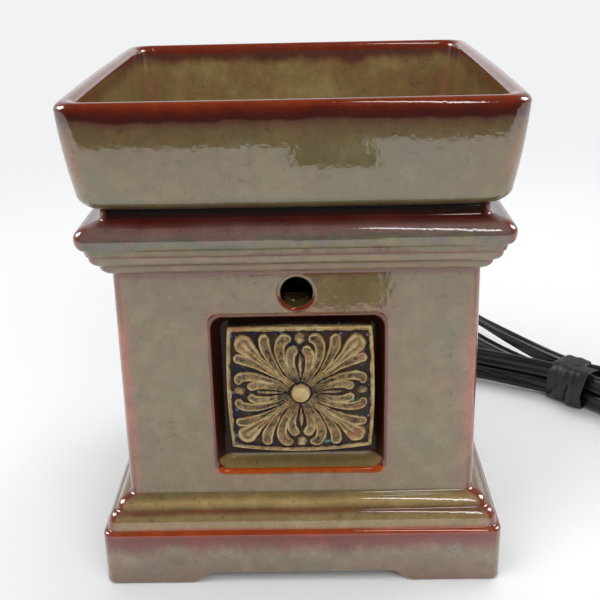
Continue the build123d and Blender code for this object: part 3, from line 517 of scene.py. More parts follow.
def dish(glaze):
    """The loose wax dish: flared bowed sides, round rim, basin and the ring under its floor."""
    bm = bmesh.new()
    corner = 6.0 * MM
    start = square_ring(bm, DISH_FOOT * MM, corner, SEAT, cuts=47, steps=9)
    stations = quarter((DISH_FOOT, 0.0), (side_of_dish(5.6), 5.6), True, 8)
    stations += [(side_of_dish(height), height) for height in (8.5, 12.5, 16.5, 20.5, 24.5, 27.5)]
    stations += [(side_of_dish(29.2), 29.2)]
    stations += quarter((side_of_dish(29.2), 29.2), (62.7, 31.3), False, 6)
    stations += [(62.1, 31.3)]
    stations += quarter((62.1, 31.3), (59.95, 29.2), True, 6)
    stations += [(59.4, 22.0), (58.6, 15.0), (57.8, 9.6)]
    stations += quarter((57.7, 9.2), (54.4, 6.0), False, 6)
    below = [(46.4, 0.0), (46.4, -2.4), (45.8, -3.0), (43.8, -3.0), (43.2, -2.4), (43.2, 0.0)]
    for side in (stations, below):
        ring = follow_profile(
            bm, start, corner, DISH_FOOT * MM,
            [(width * MM, SEAT + height * MM) for width, height in side],
        )
        bmesh.ops.contextual_create(bm, geom=ring)
    bow(bm, 65.1 * MM, 0.8 * MM)
    piece = put_away(bm, "glazed_dish", glaze, "dish")
    even_shading(piece)
    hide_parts("wax_dish")
    return piece


# ---------------------------------------------------------------- relief tile

TILE_X, TILE_Z = 0.6 * MM, 64.3 * MM
TILE_HALF_X, TILE_HALF_Z, TILE_BOW = 21.7 * MM, 20.2 * MM, 0.8 * MM
TILE_RELIEF, TILE_BACK = 1.1, -49.95 * MM
DOME_RADIUS, DOME_FRONT = 123.9 * MM, -56.95 * MM
BARE = -0.8  # carving height that the gilding never reaches

# Leaves of the rosette in millimetres from its middle, for the upper right quarter: points of the
# midline with the half width there, and the kind of surface
LEAVES = [
    ("twin", [(1.9, 1.9, 0.75), (5.2, 4.8, 0.8), (8.6, 7.5, 0.85), (12.2, 10.6, 1.15),
              (14.6, 13.0, 1.9), (16.9, 15.2, 2.65)]),
    ("cup", [(5.6, 5.6, 0.5), (7.4, 8.4, 0.85), (9.2, 11.6, 1.2), (10.5, 14.8, 1.55),
             (10.7, 17.0, 1.5)]),
    ("cup", [(6.4, 4.9, 0.5), (9.4, 6.9, 0.8), (12.8, 8.8, 1.1), (16.2, 10.2, 1.4),
             (18.7, 10.7, 1.35)]),
    ("cup", [(1.3, 3.0, 0.4), (3.1, 5.6, 0.65), (4.9, 8.9, 1.0), (6.0, 12.3, 1.35),
             (6.0, 15.2, 1.5), (4.9, 17.1, 1.5), (3.9, 17.3, 1.2)]),
    ("full", [(0.7, 4.0, 0.35), (1.7, 6.6, 0.7), (2.75, 9.6, 1.15), (2.85, 12.2, 1.5),
              (2.2, 13.6, 1.55)]),
    ("seed", [(0.0, 5.2, 0.3), (0.0, 8.0, 0.62), (0.0, 10.2, 0.7), (0.0, 12.6, 0.15)]),
    ("low", [(0.0, 17.0, 1.5), (0.0, 18.0, 1.4)]),
    ("cup", [(3.2, 1.3, 0.4), (6.2, 2.9, 0.6), (9.8, 4.2, 0.9), (13.4, 5.0, 1.15), (16.8, 5.1, 1.3),
             (18.7, 4.4, 1.3), (18.9, 3.5, 1.0)]),
    ("full", [(4.2, 0.7, 0.3), (7.0, 1.5, 0.6), (10.2, 2.3, 0.95), (13.2, 2.5, 1.25),
              (14.9, 1.95, 1.35)]),
    ("seed", [(5.4, 0.0, 0.25), (8.4, 0.0, 0.5), (10.8, 0.0, 0.6), (13.2, 0.0, 0.12)]),
    ("low", [(18.4, 0.0, 1.35), (19.3, 0.0, 1.2)]),
]
# How much wider than drawn each kind of leaf is carved
FULLNESS = {"twin": 1.2, "cup": 1.2, "full": 1.1, "seed": 1.1, "low": 1.1}


def smooth_line(points, parts=6):
    """Finer points along a leaf's midline, its half width among them."""
    fine = []
    for i in range(len(points) - 1):
        before = Vector(points[max(i - 1, 0)])
        start, end = Vector(points[i]), Vector(points[i + 1])
        after = Vector(points[min(i + 2, len(points) - 1)])
        for j in range(parts):
            t = j / parts
            fine.append(
                0.5 * ((2 * start) + (end - before) * t
                       + (2 * before - 5 * start + 4 * end - after) * t * t
                       + (3 * start - before - 3 * end + after) * t * t * t)
            )
    fine.append(Vector(points[-1]))
    return fine


def leaf_surface(kind, across):
    """Height share of a leaf at a distance from its midline, in half widths."""
    edge = max(0.0, 1 - across) ** 0.5 if across < 1 else 0.0
    rim = exp(-((across - 0.74) / 0.2) ** 2)
    vein = exp(-(across / 0.2) ** 2)
    falling = min(1.0, edge / 0.35)
    if kind == "twin":
        return falling * (0.42 + 0.58 * max(rim, 0.8 * vein))
    if kind == "cup":
        return falling * (0.38 + 0.6 * rim)
    if kind == "seed":
        return 0.85 * edge
    if kind == "low":
        return 0.75 * edge
    return falling * (0.45 + 0.5 * rim)


def rosette(x, z, leaves):
    """Height of the carving above the field, in millimetres, at a place on the tile."""
    highest = 0.0
    for kind, line in leaves:
        nearest, width = 9.0, 1.0
        for i in range(len(line) - 1):
            start, end = line[i], line[i + 1]
            run_x, run_z = end.x - start.x, end.y - start.y
            length = run_x * run_x + run_z * run_z
            t = ((x - start.x) * run_x + (z - start.y) * run_z) / length if length else 0.0
            t = max(0.0, min(1.0, t))
            half = start.z + (end.z - start.z) * t
            away = hypot(x - start.x - run_x * t, z - start.y - run_z * t) / half
            if away < nearest:
                nearest, width = away, half
        if nearest < 1.0:
            tall = min(1.0, 0.55 + 0.4 * width)
            highest = max(highest, tall * leaf_surface(kind, nearest))
    return highest


def relief_tile(gilding):
    """The domed tile with its raised frame, boss and rosette of leaves."""
    leaves = [
        (kind, smooth_line([(x, z, half * FULLNESS[kind]) for x, z, half in points]))
        for kind, points in LEAVES
    ]
    bm = bmesh.new()
    bmesh.ops.create_grid(bm, x_segments=216, y_segments=202, size=1.0)
    tall = bm.verts.layers.float.new("carving")
    face_verts = list(bm.verts)
    for vert in face_verts:
        u, v = vert.co.x, vert.co.y
        x = (TILE_HALF_X * u + TILE_BOW * u * (1 - v * v)) / MM
        z = (TILE_HALF_Z * v + TILE_BOW * v * (1 - u * u)) / MM
        wobble = 0.16 * noise.noise(Vector((x * 0.45, z * 0.45, 3.0)))
        side = min(TILE_HALF_X / MM * (1 - abs(u)), TILE_HALF_Z / MM * (1 - abs(v)))
        height = 1.15 * rosette(abs(x + wobble), abs(z - wobble), leaves)
        frame_share = max(0.0, min(1.0, (1.35 + 2 * wobble - side) / 0.35))
        frame_share = frame_share * frame_share * (3 - 2 * frame_share)
        bead = 0.95 - 0.3 * exp(-((side - 0.75) / 0.25) ** 2)
        height = height * (1 - frame_share) + TILE_RELIEF * bead * frame_share
        middle = hypot(x, z)
        if middle < 3.6:
            boss = 1.9 * min(1.0, max(0.0, (3.0 - middle) / 0.5)) ** 0.5
            moat = 1.0 - exp(-((middle - 3.3) / 0.3) ** 2)
            height = max(boss, height * moat)
        height += 0.05 * noise.noise(Vector((x * 1.6, z * 1.6, 0.0)))
        height += 0.03 * noise.noise(Vector((x * 4.2, z * 4.2, 7.0)))
        round_off = max(0.0, 0.6 - side)
        vert[tall] = height
        dome = DOME_FRONT + DOME_RADIUS
        dome -= sqrt(DOME_RADIUS ** 2 - (x * MM) ** 2 - (z * MM) ** 2)
        front = dome + TILE_RELIEF * MM - height * MM + round_off * round_off * 1.2 * MM
        vert.co = Vector((TILE_X + x * MM, front, TILE_Z + z * MM))
    bmesh.ops.recalc_face_normals(bm, faces=bm.faces)
    rim = [edge for edge in bm.edges if edge.is_boundary]
    for edge in rim:
        edge.smooth = False
    back_verts, back = extrude(bm, rim)
    for vert in back_verts:
        vert.co.y = TILE_BACK
        vert[tall] = BARE
    bmesh.ops.contextual_create(bm, geom=back)
    piece = put_away(bm, "relief_tile", gilding, "warmer")
    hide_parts("medallion_tile")
    return piece


# ---------------------------------------------------------------- finishes

def stoneware(finish, colour, gloss=1.0):
    """Clear deep gloss over a glaze colour that is mottled and finely specked."""
    fine = finish.cloud(420.0, 4.0, 0.7)
    mottle = finish.rise(finish.cloud(150.0, 4.0, 0.6), 0.42, 0.66)
    grain = finish.plus(finish.times(mottle, 0.2), 0.9)
    grain = finish.plus(grain, finish.times(finish.rise(fine, 0.42, 0.3), 0.22))
    grain = finish.minus(grain, finish.times(finish.rise(fine, 0.56, 0.7), 0.3))
    colour = finish.mix(1.0, colour, grain, "MULTIPLY")
    speck = finish.rise(finish.cells(560.0), 0.2, 0.08)
    cluster = finish.rise(finish.cloud(60.0, 2.0), 0.5, 0.62)
    colour = finish.stain(colour, (52, 42, 26), speck, cluster, 0.45)
    swell = finish.cloud(24.0, 2.0)
    waves = finish.plus(swell, finish.times(fine, 0.02))
    ripples = finish.plus(swell, finish.times(finish.cloud(210.0, 3.0), 0.2))
    ripples = finish.plus(ripples, finish.times(fine, 0.06))
    return finish.surface(
        colour, 0.3, finish.relief(waves, 0.0009, 0.6), coat_weight=gloss, coat_roughness=0.03,
        coat_ior=1.85, coat_normal=finish.relief(ripples, 0.00022), specular_ior_level=0.1,
    )


def tinted(finish, colour, scale=26.0):
    """Drift of a glaze colour towards grey-green, olive and pink."""
    slate = finish.rise(finish.cloud(scale, 4.0, 0.6), 0.46, 0.64)
    colour = finish.stain(colour, (102, 100, 78), slate, 0.55)
    olive = finish.rise(finish.cloud(scale * 1.7, 4.0, 0.6), 0.6, 0.42)
    patches = finish.rise(finish.cloud(scale * 5, 3.0), 0.35, 0.6)
    colour = finish.stain(colour, (100, 88, 52), olive, patches, 0.5)
    pink = finish.rise(finish.cloud(scale * 1.3, 3.0, 0.55), 0.56, 0.7)
    return finish.stain(colour, (124, 92, 70), pink, 0.4)


def from_corner(finish, x, y):
    """How far a place is from the nearest corner of the square."""
    return finish.size(finish.minus(finish.size(y), finish.size(x)))


def pedestal_glaze():
    """Glaze of the pedestal: rust and maroon on the edges, pooled grey and olive elsewhere; painted
    shade in the niche, vent and neck, painted light on the torus.
    """
    finish = Finish("pedestal_glaze")
    x, y, z = finish.axis("X"), finish.axis("Y"), finish.axis("Z")
    wander = finish.sway(finish.cloud(60.0, 3.0), 0.0013)
    fingers = finish.sway(finish.cloud(75.0, 4.0, 0.62, (1.0, 1.0, 0.3)), 0.016)
    loose = finish.larger(finish.band(z, 0.0105, 0.0062), finish.band(z, 0.1135, 0.0042))
    level = finish.plus(finish.plus(z, wander), finish.times(fingers, loose))
    colour = finish.banded(level, 0.0, 122.6, [
        # Plinth
        (0.5, (112, 82, 62)), (10.0, (126, 109, 88)), (12.6, (118, 82, 66)),
        (14.4, (110, 54, 42)), (16.3, (104, 36, 22)), (16.9, (100, 22, 5)), (18.2, (140, 48, 3)),
        # Base mouldings and wall; the pale gold at 27 mm, on top of the upper torus, is olive glaze
        # lifted with painted light
        (19.15, (136, 60, 14)), (20.2, (134, 112, 72)), (23.4, (120, 102, 66)),
        (24.5, (98, 56, 34)), (25.4, (118, 98, 62)), (27.0, (156, 130, 84)),
        (28.5, (98, 84, 54)), (29.6, (116, 99, 68)), (60.0, (113, 99, 66)),
        # Cornice
        (100.5, (106, 90, 60)), (102.8, (98, 38, 18)), (103.8, (112, 96, 66)),
        (105.6, (112, 88, 58)), (106.3, (92, 36, 16)), (107.2, (114, 98, 66)),
        (109.0, (114, 94, 62)), (109.7, (92, 34, 14)), (110.6, (106, 90, 54)),
        (113.4, (96, 88, 56)), (115.0, (84, 80, 70)), (116.4, (102, 80, 74)),
        (118.4, (106, 74, 68)), (118.95, (92, 32, 22)),
        # Neck: dark red glaze, going near black at its top under the dish, which is painted shade
        (119.8, (62, 10, 3)), (121.2, (14, 3, 2)),
    ])
    plain = finish.larger(finish.band(z, 0.065, 0.037), finish.band(z, 0.006, 0.008))
    colour = finish.mix(plain, colour, tinted(finish, colour))
    # Corners
    near = finish.plus(from_corner(finish, x, y), finish.times(wander, 1.5))
    wall = finish.band(z, 0.0655, 0.0385)
    colour = finish.stain(colour, (158, 84, 56), finish.rise(near, 0.0046, 0.0018), wall, 0.85)
    halo = finish.rise(near, 0.009, 0.0025)
    colour = finish.stain(colour, (136, 92, 80), halo, finish.band(z, 0.052, 0.056), 0.4)
    step = finish.times(finish.rise(near, 0.0030, 0.0012), finish.rise(z, 0.0165, 0.0175))
    colour = finish.stain(colour, (112, 40, 18), step, finish.minus(1.0, wall), 0.9)
    # Niche: pink bloom round it, dark red lip, painted shade on its inner walls, a pale sill with
    # an amber front
    front = finish.rise(y, -0.0440, -0.0460)
    off_x = finish.minus(finish.size(x), NICHE_HALF)
    off_z = finish.minus(finish.size(finish.minus(z, NICHE_MIDDLE)), NICHE_HALF)
    off = finish.larger(off_x, off_z)
    drift = finish.sway(finish.cloud(70.0, 4.0, 0.6), 0.012)
    bloom = finish.rise(finish.plus(off, drift), 0.0075, -0.0005)
    colour = finish.stain(colour, (124, 74, 60), bloom, front, 0.42)
    lip = finish.times(finish.rise(finish.plus(off, wander), 0.0015, 0.0008), front)
    lip = finish.times(lip, finish.rise(finish.plus(off_x, off_z), 0.0012, 0.0002))
    sill_side = finish.rise(z, 0.0376, 0.0368)
    colour = finish.mix(lip, colour, finish.mix(sill_side, tone(84, 18, 6), tone(150, 62, 4)))
    # Painted shade: the niche's inner walls are coloured near black-brown, all but the sill
    depth = finish.rise(y, -0.0534, -0.0527)
    inside = finish.times(depth, front, finish.rise(off, 0.0004, -0.0001))
    sill = finish.rise(z, 0.0400, 0.0388)
    colour = finish.mix(inside, colour, finish.mix(sill, tone(40, 20, 10), tone(124, 104, 66)))
    # Vent: rust round its lower half; inside it painted shade, near black but for the bottom
    up = finish.minus(z, VENT_HEIGHT)
    reach = finish.length(x, up)
    ring = finish.times(finish.rise(reach, 0.0061, 0.0054), front)
    colour = finish.stain(colour, (104, 30, 8), ring, finish.rise(up, 0.004, -0.002))
    tunnel = finish.times(finish.rise(reach, 0.0050, 0.0047), front)
    bottom = finish.rise(up, -0.0020, -0.0034)
    colour = finish.mix(tunnel, colour, finish.mix(bottom, tone(14, 8, 6), tone(84, 66, 40)))
    # The niche has hardly any gloss, apart from its sill
    recess = finish.times(inside, finish.minus(1.0, sill), 0.9)
    return stoneware(finish, colour, finish.minus(1.0, recess))


def dish_glaze():
    """Glaze of the dish: rust on the rim, then maroon and olive, and taupe below."""
    finish = Finish("dish_glaze")
    x, y, z = finish.axis("X"), finish.axis("Y"), finish.axis("Z")
    wander = finish.sway(finish.cloud(60.0, 3.0), 0.0014)
    fingers = finish.minus(finish.cloud(90.0, 5.0, 0.65, (1.0, 1.0, 0.35)), 0.5)
    level = finish.plus(finish.plus(z, wander), finish.times(fingers, 0.0035))
    colour = finish.banded(level, 119.6, 34.5, [
        (119.6, (40, 12, 6)), (122.8, (60, 34, 18)), (123.8, (78, 70, 40)), (125.6, (102, 92, 62)),
        (127.5, (106, 92, 60)), (141.0, (98, 82, 52)), (146.4, (92, 74, 48)), (148.4, (84, 54, 40)),
        (149.3, (56, 12, 8)), (150.7, (66, 12, 3)), (151.8, (84, 20, 2)), (153.2, (106, 34, 3)),
        (154.0, (118, 44, 10)),
    ])
    colour = finish.mix(finish.band(z, 0.136, 0.013), colour, tinted(finish, colour, 22.0))
    # Basin, which lies inside a line that leans with the walls
    wide = finish.larger(finish.size(x), finish.size(y))
    lean = finish.minus(wide, finish.times(finish.minus(z, 0.1322), 0.105))
    basin = finish.times(finish.rise(lean, 0.0592, 0.0584), finish.rise(z, 0.1278, 0.1282))
    patches = finish.rise(finish.cloud(46.0, 4.0, 0.6), 0.4, 0.62)
    bowl = finish.mix(patches, tone(132, 114, 70), tone(120, 94, 58))
    bowl_level = finish.plus(z, finish.times(fingers, 0.009))
    bowl = finish.stain(bowl, (84, 46, 36), finish.rise(bowl_level, 0.1455, 0.1500))
    bowl = finish.stain(bowl, (108, 36, 10), finish.rise(finish.plus(z, wander), 0.1505, 0.1515))
    colour = finish.mix(basin, colour, bowl)
    # Corners
    near = finish.plus(from_corner(finish, x, y), finish.times(wander, 2.0))
    blush = finish.rise(near, 0.0065, 0.002)
    colour = finish.stain(colour, (150, 92, 66), blush, finish.band(z, 0.138, 0.013), 0.45)
    return stoneware(finish, colour)


def antique_gold():
    """Worn gold over a dark ground that is specked with teal and violet."""
    finish = Finish("antique_gold")
    wear = finish.sway(finish.cloud(620.0, 5.0, 0.75), 2.2)
    worn = finish.plus(finish.attribute("carving"), wear)
    high = finish.rise(worn, 0.16, 0.5)
    ground = finish.rise(finish.cloud(140.0, 3.0), 0.4, 0.6)
    ground = finish.mix(ground, tone(24, 22, 32), tone(52, 36, 24))
    teal = finish.rise(finish.cells(330.0), 0.26, 0.12)
    patches = finish.rise(finish.cloud(90.0, 2.0), 0.46, 0.56)
    ground = finish.stain(ground, (66, 128, 130), teal, patches)
    violet = finish.rise(finish.cells(410.0), 0.24, 0.1)
    patches = finish.rise(finish.cloud(70.0, 2.0), 0.54, 0.48)
    ground = finish.stain(ground, (112, 100, 140), violet, patches)
    dull = finish.rise(finish.cloud(260.0, 3.0), 0.35, 0.65)
    dull = finish.mix(dull, tone(97, 81, 55), tone(130, 111, 80))
    bright = finish.rise(finish.cloud(200.0, 3.0), 0.35, 0.65)
    bright = finish.mix(bright, tone(162, 134, 86), tone(188, 166, 121))
    gold = finish.mix(finish.rise(worn, 0.5, 1.0), dull, bright)
    rusty = finish.rise(finish.cloud(230.0, 3.0), 0.56, 0.66)
    gold = finish.stain(gold, (150, 92, 58), rusty, 0.45)
    return finish.surface(
        finish.mix(high, ground, gold), finish.minus(0.5, finish.times(high, 0.12)),
        finish.relief(finish.cloud(600.0, 3.0), 0.0002, 0.4), metallic=finish.times(high, 0.3),
        coat_weight=0.12, coat_roughness=0.2, specular_ior_level=0.25,
    )


def black_plastic(name, shade, rough, grain=900.0, depth=0.00008):
    """Moulded black plastic or rubber with a fine grain and a little bloom."""
    finish = Finish(name)
    bloom = finish.rise(finish.cloud(60.0, 3.0), 0.35, 0.75)
    colour = finish.stain(tone(*shade), [value + 12 for value in shade], bloom, 0.5)
    dull = finish.plus(rough, finish.times(bloom, 0.12))
    return finish.surface(colour, dull, finish.relief(finish.cloud(grain, 2.0), depth, 0.4))


def bare_metal(name, shade, rough):
    """Turned or stamped metal with fine scratches and a little tarnish."""
    finish = Finish(name)
    scratch = finish.cloud(500.0, 3.0, 0.6, (1.0, 1.0, 6.0))
    tarnish = finish.rise(finish.cloud(120.0, 3.0), 0.4, 0.7)
    colour = finish.stain(tone(*shade), [value * 0.7 for value in shade], tarnish, 0.4)
    dull = finish.plus(rough, finish.times(scratch, 0.12))
    return finish.surface(colour, dull, finish.relief(scratch, 0.00003, 0.3), metallic=1.0)


def lamp_glass():
    """Clear thin glass with hardly any waviness."""
    finish = Finish("lamp_glass")
    waviness = finish.relief(finish.cloud(80.0, 2.0), 0.0001, 0.15)
    return finish.surface(tone(250, 250, 250), 0.02, waviness, transmission_weight=1.0, ior=1.1)


PEDESTAL_GLAZE, DISH_GLAZE, ANTIQUE_GOLD = pedestal_glaze(), dish_glaze(), antique_gold()
LEAD_BLACK = black_plastic("lead_black", (16, 16, 18), 0.32)
RUBBER_BLACK = black_plastic("rubber_black", (26, 26, 27), 0.6)
MOULDED_BLACK = black_plastic("moulded_black", (30, 30, 31), 0.38, 1400.0, 0.0001)
TIE_BLACK = black_plastic("tie_black", (34, 35, 37), 0.45, 1100.0)
BRASS = bare_metal("brass", (196, 160, 92), 0.25)
STEEL = bare_metal("zinc_plated_steel", (178, 178, 176), 0.3)
GLASS = lamp_glass()

pedestal(PEDESTAL_GLAZE)
dish(DISH_GLAZE)
relief_tile(ANTIQUE_GOLD)


# ---------------------------------------------------------------- lead, hank and tie

# Heights of the hank's two layers and its heading; all lengths of the lead are in millimetres
LOW, HIGH = 4.7, 12.15
HEADING = radians(138.5)
WAIST_X, WAIST_Y, WAIST_HEIGHT = 116.5, 64.0, 8.9
FOLD_PLACE, FOLD_RADIUS = 91.2, 23.0


def on_hank(along, across, height):
    """Point along the hank's axis, across it towards its far side, and above the table."""
    x = WAIST_X + along * cos(HEADING) + across * sin(HEADING)
    y = WAIST_Y + along * sin(HEADING) - across * cos(HEADING)
    return (x, y, height)


def on_line(distance, height):
    """Point on the straight lead that runs from the switch into the hank."""
    return (37.04 - 0.8704 * distance, 106.22 + 0.4924 * distance, height)


def fold(end, first, height):
    """Points of the turn at one end of the hank, from one side of it round to the other."""
    return [
        on_hank(
            end * (FOLD_PLACE + FOLD_RADIUS * cos(radians(turn))),
            first * FOLD_RADIUS * sin(radians(turn)), height,
        )
        for turn in (88, 59, 30, 0, -30, -59, -88)
    ]


def across_waist(side, towards, height):
    """Points where a strand is drawn in by the tie, on the near or the far side of the hank."""
    return [
        on_hank(-12.48 * towards, side * 5.09, height), on_hank(0, side * 3.775, height),
        on_hank(12.48 * towards, side * 5.09, height),
    ]


SWITCH_LEAD = [
    (0, 84.7, 10.6), (0, 96.2, 10.6), (-8, 106.5, 7.2), (-21, 111, 4.2), (-40, 108.5, 3.5),
    (-62, 106.1, 3.5), (-77.3, 123.5, 3.5), (-72.4, 146.2, 4.4), (-50.87, 155.95, 6),
    (-32.59, 145.61, 6),
]
PLUG_LEAD = [on_line(26, 6), on_line(17, 6), on_line(6, 4.7), on_hank(70, -17.31, LOW)]
PLUG_LEAD += across_waist(-1, -1, LOW) + fold(-1, -1, LOW) + across_waist(1, 1, LOW)
PLUG_LEAD += [on_hank(52, 13.49, LOW)]
PLUG_LEAD += fold(1, 1, HIGH) + across_waist(-1, -1, HIGH) + fold(-1, -1, HIGH)
PLUG_LEAD += [on_hank(-12.48, 5.09, HIGH), on_hank(0, 3.775, HIGH), on_hank(22.48, 8.14, HIGH)]
PLUG_LEAD += [
    (76.1, 143.2, HIGH), (69.85, 155.7, HIGH), (56.5, 168.5, 9), (39.5, 179, 5),
    (15.96, 182.95, 7), (7.98, 183.5, 8), (1, 184, 8),
]


def lead_outline():
    """Cross-section of the flat two-core lead: two round cores side by side in one jacket."""
    count, half_width, half_thickness = 28, 3.5, 2.5
    curve = bpy.data.curves.new("lead_outline", "CURVE")
    spline = curve.splines.new("POLY")
    spline.points.add(count - 1)
    for i, point in enumerate(spline.points):
        turn = 2 * pi * i / count
        width = half_width * cos(turn)
        waist = 1 - 0.3 * exp(-((width / 0.95) ** 2))
        bulge = abs(sin(turn)) ** 0.62 * (1 if sin(turn) >= 0 else -1)
        thick = half_thickness * waist * bulge
        point.co = (width * MM, thick * MM, 0, 1)
    spline.use_cyclic_u = True
    outline = bpy.data.objects.new("lead_outline", curve)
    bpy.context.collection.objects.link(outline)
    return outline


def lead(name, points, on_edge):
    """Flat lead along its route, on edge at some of its points, and the line it follows."""
    curve = bpy.data.curves.new(name, "CURVE")
    curve.dimensions = "3D"
    curve.twist_mode = "Z_UP"
    curve.resolution_u = 7
    spline = curve.splines.new("NURBS")
    spline.points.add(len(points) - 1)
    for i, point in enumerate(points):
        spline.points[i].co = (point[0] * MM, point[1] * MM, point[2] * MM, 1)
        spline.points[i].tilt = pi / 2 if i in on_edge else 0.0
    spline.order_u = 3
    spline.use_endpoint_u = True
    route = bpy.data.objects.new(name + "_route", curve)
    bpy.context.collection.objects.link(route)
    depsgraph = bpy.context.evaluated_depsgraph_get()
    line = bpy.data.meshes.new_from_object(route.evaluated_get(depsgraph))
    path = [vert.co.copy() for vert in line.vertices]
    outline = lead_outline()
    curve.bevel_mode = "OBJECT"
    curve.bevel_object = outline
    curve.use_fill_caps = True
    depsgraph.update()
    mesh = bpy.data.meshes.new_from_object(route.evaluated_get(depsgraph))
    bpy.data.objects.remove(route)
    bpy.data.objects.remove(outline)
    bpy.data.meshes.remove(line)
    bm = bmesh.new()
    bm.from_mesh(mesh)
    piece = put_away(bm, name, LEAD_BLACK, "warmer")
    return piece, path


def tie(rubber):
    """Broad strap wound about the hank's waist, crossed over and knotted on its near side."""
    bm = bmesh.new()
    columns, thickness = 8, 0.75 * MM
    lowest, highest = 0.9 * MM, 17.0 * MM
    reach_across, reach_up, squareness = 8.0, 7.9, 3.2

    def wound(start, turns, steps, slant, wide, lift, pinch=0.0):
        """Strap wound round the waist: it is extruded a step at a time, with creases along it."""
        row = [bm.verts.new((i / (columns - 1) * 2 - 1, 0, 0)) for i in range(columns)]
        edges = [bm.edges.new((row[i], row[i + 1])) for i in range(columns - 1)]
        sides = {vert: vert.co.x for vert in row}
        for step in range(steps + 1):
            share = step / steps
            turn = radians(start + 360 * turns * share)
            if step:
                before, sides = sides, {}
                fresh, edges = extrude(bm, edges)
                for vert in fresh:
                    linked = [edge.other_vert(vert) for edge in vert.link_edges]
                    sides[vert] = next(before[other] for other in linked if other in before)
            c, t = cos(turn), sin(turn)
            reach = abs(c / reach_across) ** squareness + abs(t / reach_up) ** squareness
            reach **= -1 / squareness
            narrow = 1 - pinch * exp(-((share - 0.5) / 0.16) ** 2)
            for vert, side in sides.items():
                crease = 0.35 * noise.noise(Vector((side * 1.5, turn * 1.6, lift)))
                crease = 0.3 * sin(side * 7 + turn * 1.3) + crease
                out = reach + lift + lift * 0.25 * share - 0.5 * side * side + crease
                along = slant[0] + (slant[1] - slant[0]) * share + side * wide / 2 * narrow
                along += 0.5 * noise.noise(Vector((turn * 1.2, side, 4.0 + lift)))
                vert.co = Vector(on_hank(along, out * c, WAIST_HEIGHT + out * t)) * MM

    wound(200, 1.06, 60, (-1.5, 1.5), 13.5, 0.0)
    wound(250, 0.95, 56, (3.5, -4.0), 11.0, 1.0)
    wound(95, 0.5, 30, (-8.0, 7.0), 9.5, 1.9, 0.45)
    wound(262, -0.42, 26, (-5.0, -8.5), 8.0, 2.5, 0.3)
    for vert in bm.verts:
        vert.co.z = min(max(vert.co.z, lowest), highest)
    bmesh.ops.recalc_face_normals(bm, faces=bm.faces)
    bmesh.ops.solidify(bm, geom=bm.faces, thickness=thickness)
    piece = put_away(bm, "knotted_tie", rubber, "warmer")
    finer = piece.modifiers.new("soft folds", "SUBSURF")
    finer.levels = finer.render_levels = 1
    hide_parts("cord_tie")
    return piece


switch_lead, switch_path = lead("lead_to_switch", SWITCH_LEAD, range(0))
plug_lead, plug_path = lead("lead_to_plug", PLUG_LEAD, range(4, len(PLUG_LEAD) - 7))
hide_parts("cord_lead")
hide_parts("cord_mid", "cord_hank", "cord_tail")
strap = tie(TIE_BLACK)

# Pieces that keep the CAD model's shape
CAD_FINISHES = {
    "tile_adhesive": RUBBER_BLACK, "bulb_glass": GLASS, "bulb_shell": BRASS,
    "bulb_insulator": MOULDED_BLACK, "bulb_tip_contact": STEEL, "bulb_stem": GLASS,
    "bulb_lead_wires": STEEL, "bulb_filament": STEEL, "socket_body": MOULDED_BLACK,
    "socket_screw_shell": BRASS, "socket_centre_contact": BRASS, "threaded_nipple": STEEL,
    "nipple_washer": STEEL, "nipple_nut": STEEL, "cord_internal": LEAD_BLACK,
    "cord_bushing": RUBBER_BLACK, "switch_lower": MOULDED_BLACK, "switch_upper": MOULDED_BLACK,
    "switch_wheel": RUBBER_BLACK, "switch_axle": STEEL, "switch_screws": STEEL,
    "plug_body": MOULDED_BLACK, "plug_blades": BRASS,
}
for name, material in CAD_FINISHES.items():
    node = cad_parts[name]
    node.data.materials.clear()
    node.data.materials.append(material)


# ---------------------------------------------------------------- floor, light and background

def flat_sheet(name, bm, material):
    """Turn a finished flat bmesh into an object for the stage."""
    mesh = bpy.data.meshes.new(name)
    bm.to_mesh(mesh)
    bm.free()
    mesh.materials.append(material)
    sheet = bpy.data.objects.new(name, mesh)
    bpy.context.collection.objects.link(sheet)
    return sheet


def table():
    """White table top, which fades into the pale room where the camera sees it far away."""
    bm = bmesh.new()
    bmesh.ops.create_grid(bm, x_segments=8, y_segments=8, size=6.0)
    finish = Finish("white_table")
    shade = finish.mix(finish.cloud(1.5, 2.0), tone(234, 235, 237), tone(239, 240, 241))
    finish.surface(shade, 0.5)
    away = finish.length(finish.axis("X"), finish.axis("Y"))
    far = finish.times(finish.rise(away, 0.28, 0.75), finish.ray("Is Camera Ray"))
    pale = finish.nodes.new("ShaderNodeEmission")
    pale.inputs["Color"].default_value = tone(241, 242, 243)
    blend = finish.nodes.new("ShaderNodeMixShader")
    for socket, value in zip(blend.inputs, (far, finish.shader.outputs[0], pale.outputs[0])):
        finish.feed(socket, value)
    finish.feed(finish.nodes["Material Output"].inputs["Surface"], blend.outputs[0])
    flat_sheet("table_top", bm, finish.material)


def room():
    """Pale room round the table, brighter to the camera than to the glaze that mirrors it."""
    world = bpy.data.worlds.new("pale_room")
    world.use_nodes = True
    bpy.context.scene.world = world
    air = Network(world.node_tree, "Generated")
    # The sweep behind and beside the piece is white, and the room above and in front of it is dim
    behind = air.maths("ADD", air.times(air.axis("Y"), 1.4), 0.55, clamp=True)
    low_down = air.maths("SUBTRACT", 1.2, air.times(air.axis("Z"), 1.6), clamp=True)
    mirrored = air.mix(air.times(behind, low_down), 0.05, 0.85, data="FLOAT")
    strength = air.mix(air.ray("Is Glossy Ray"), 0.55, mirrored, data="FLOAT")
    seen = air.larger(air.ray("Is Camera Ray"), air.ray("Is Transmission Ray"))
    strength = air.mix(seen, strength, 0.88, data="FLOAT")
    background = air.nodes["Background"]
    background.inputs["Color"].default_value = (0.98, 0.99, 1.0, 1.0)
    air.feed(background.inputs["Strength"], strength)


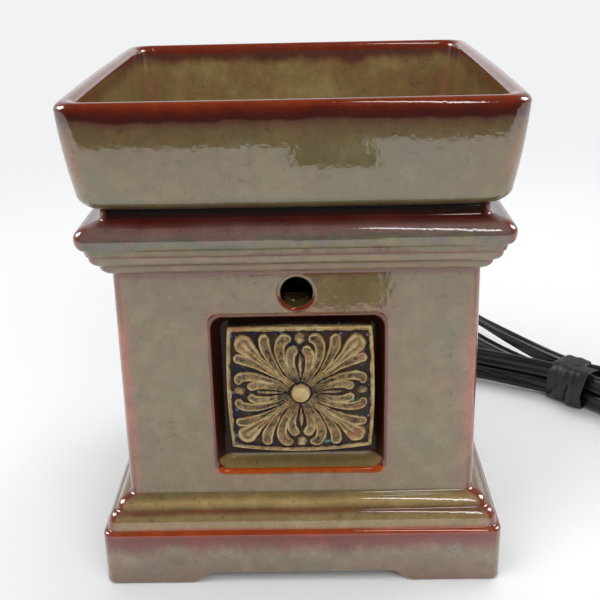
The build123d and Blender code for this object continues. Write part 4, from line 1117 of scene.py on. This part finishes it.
def dark_floor(name, x_span, y_span):
    """Dim floor in front of the white sheet, where only the glaze mirrors it."""
    bm = bmesh.new()
    middle = Matrix.Translation((sum(x_span) / 2, sum(y_span) / 2, 0.0004))
    size = Matrix.Diagonal((x_span[1] - x_span[0], y_span[1] - y_span[0], 1, 1))
    bmesh.ops.create_grid(bm, x_segments=1, y_segments=1, size=0.5, matrix=middle @ size)
    finish = Finish(name)
    shade = finish.mix(finish.cloud(6.0, 2.0), tone(44, 38, 32), tone(60, 52, 44))
    floor = flat_sheet(name, bm, finish.surface(shade, 0.9))
    floor.visible_camera = floor.visible_diffuse = floor.visible_shadow = False


def lamp(name, place, aim, size, power, mirrored):
    """Rectangular light turned to its aim: soft light that fills, or a window the glaze mirrors."""
    data = bpy.data.lights.new(name, "AREA")
    data.shape = "RECTANGLE"
    data.size, data.size_y = size
    data.energy = power
    light = bpy.data.objects.new(name, data)
    away = (Vector(place) - Vector(aim)).normalized()
    turn = away.to_track_quat("Z", "Y").to_matrix().to_4x4()
    light.matrix_world = Matrix.Translation(place) @ turn
    light.visible_glossy = mirrored
    light.visible_diffuse = not mirrored
    bpy.context.collection.objects.link(light)


table()
room()
dark_floor("camera_stand", (-0.006, 0.047), (-0.40, -0.294))
dark_floor("left_floor", (-3.0, 0.047), (-5.0, -0.360))
dark_floor("right_floor", (0.047, 3.0), (-5.0, -0.384))
lamp("key_softbox", (-0.75, -0.55, 1.25), (0, 0, 0.08), (0.9, 0.9), 8.5, False)
lamp("overhead_softbox", (0.25, 0.5, 1.3), (0, 0, 0.05), (1.0, 0.8), 8.5, False)
lamp("front_softbox", (0.45, -1.2, 0.85), (0, -0.1, 0.02), (0.9, 0.9), 8.5, False)
lamp("front_window", (0.208, -0.80, 1.06), (0.045, -0.06, 0.11), (0.05, 1.3), 1.7, True)
lamp("right_window", (1.05, 0.25, 0.9), (0.06, -0.06, 0.11), (0.7, 0.6), 11.0, True)
lamp("left_window", (-1.05, 0.25, 0.9), (-0.06, -0.06, 0.11), (0.7, 0.6), 11.0, True)
view = bpy.context.scene.view_settings
view.view_transform = "Standard"
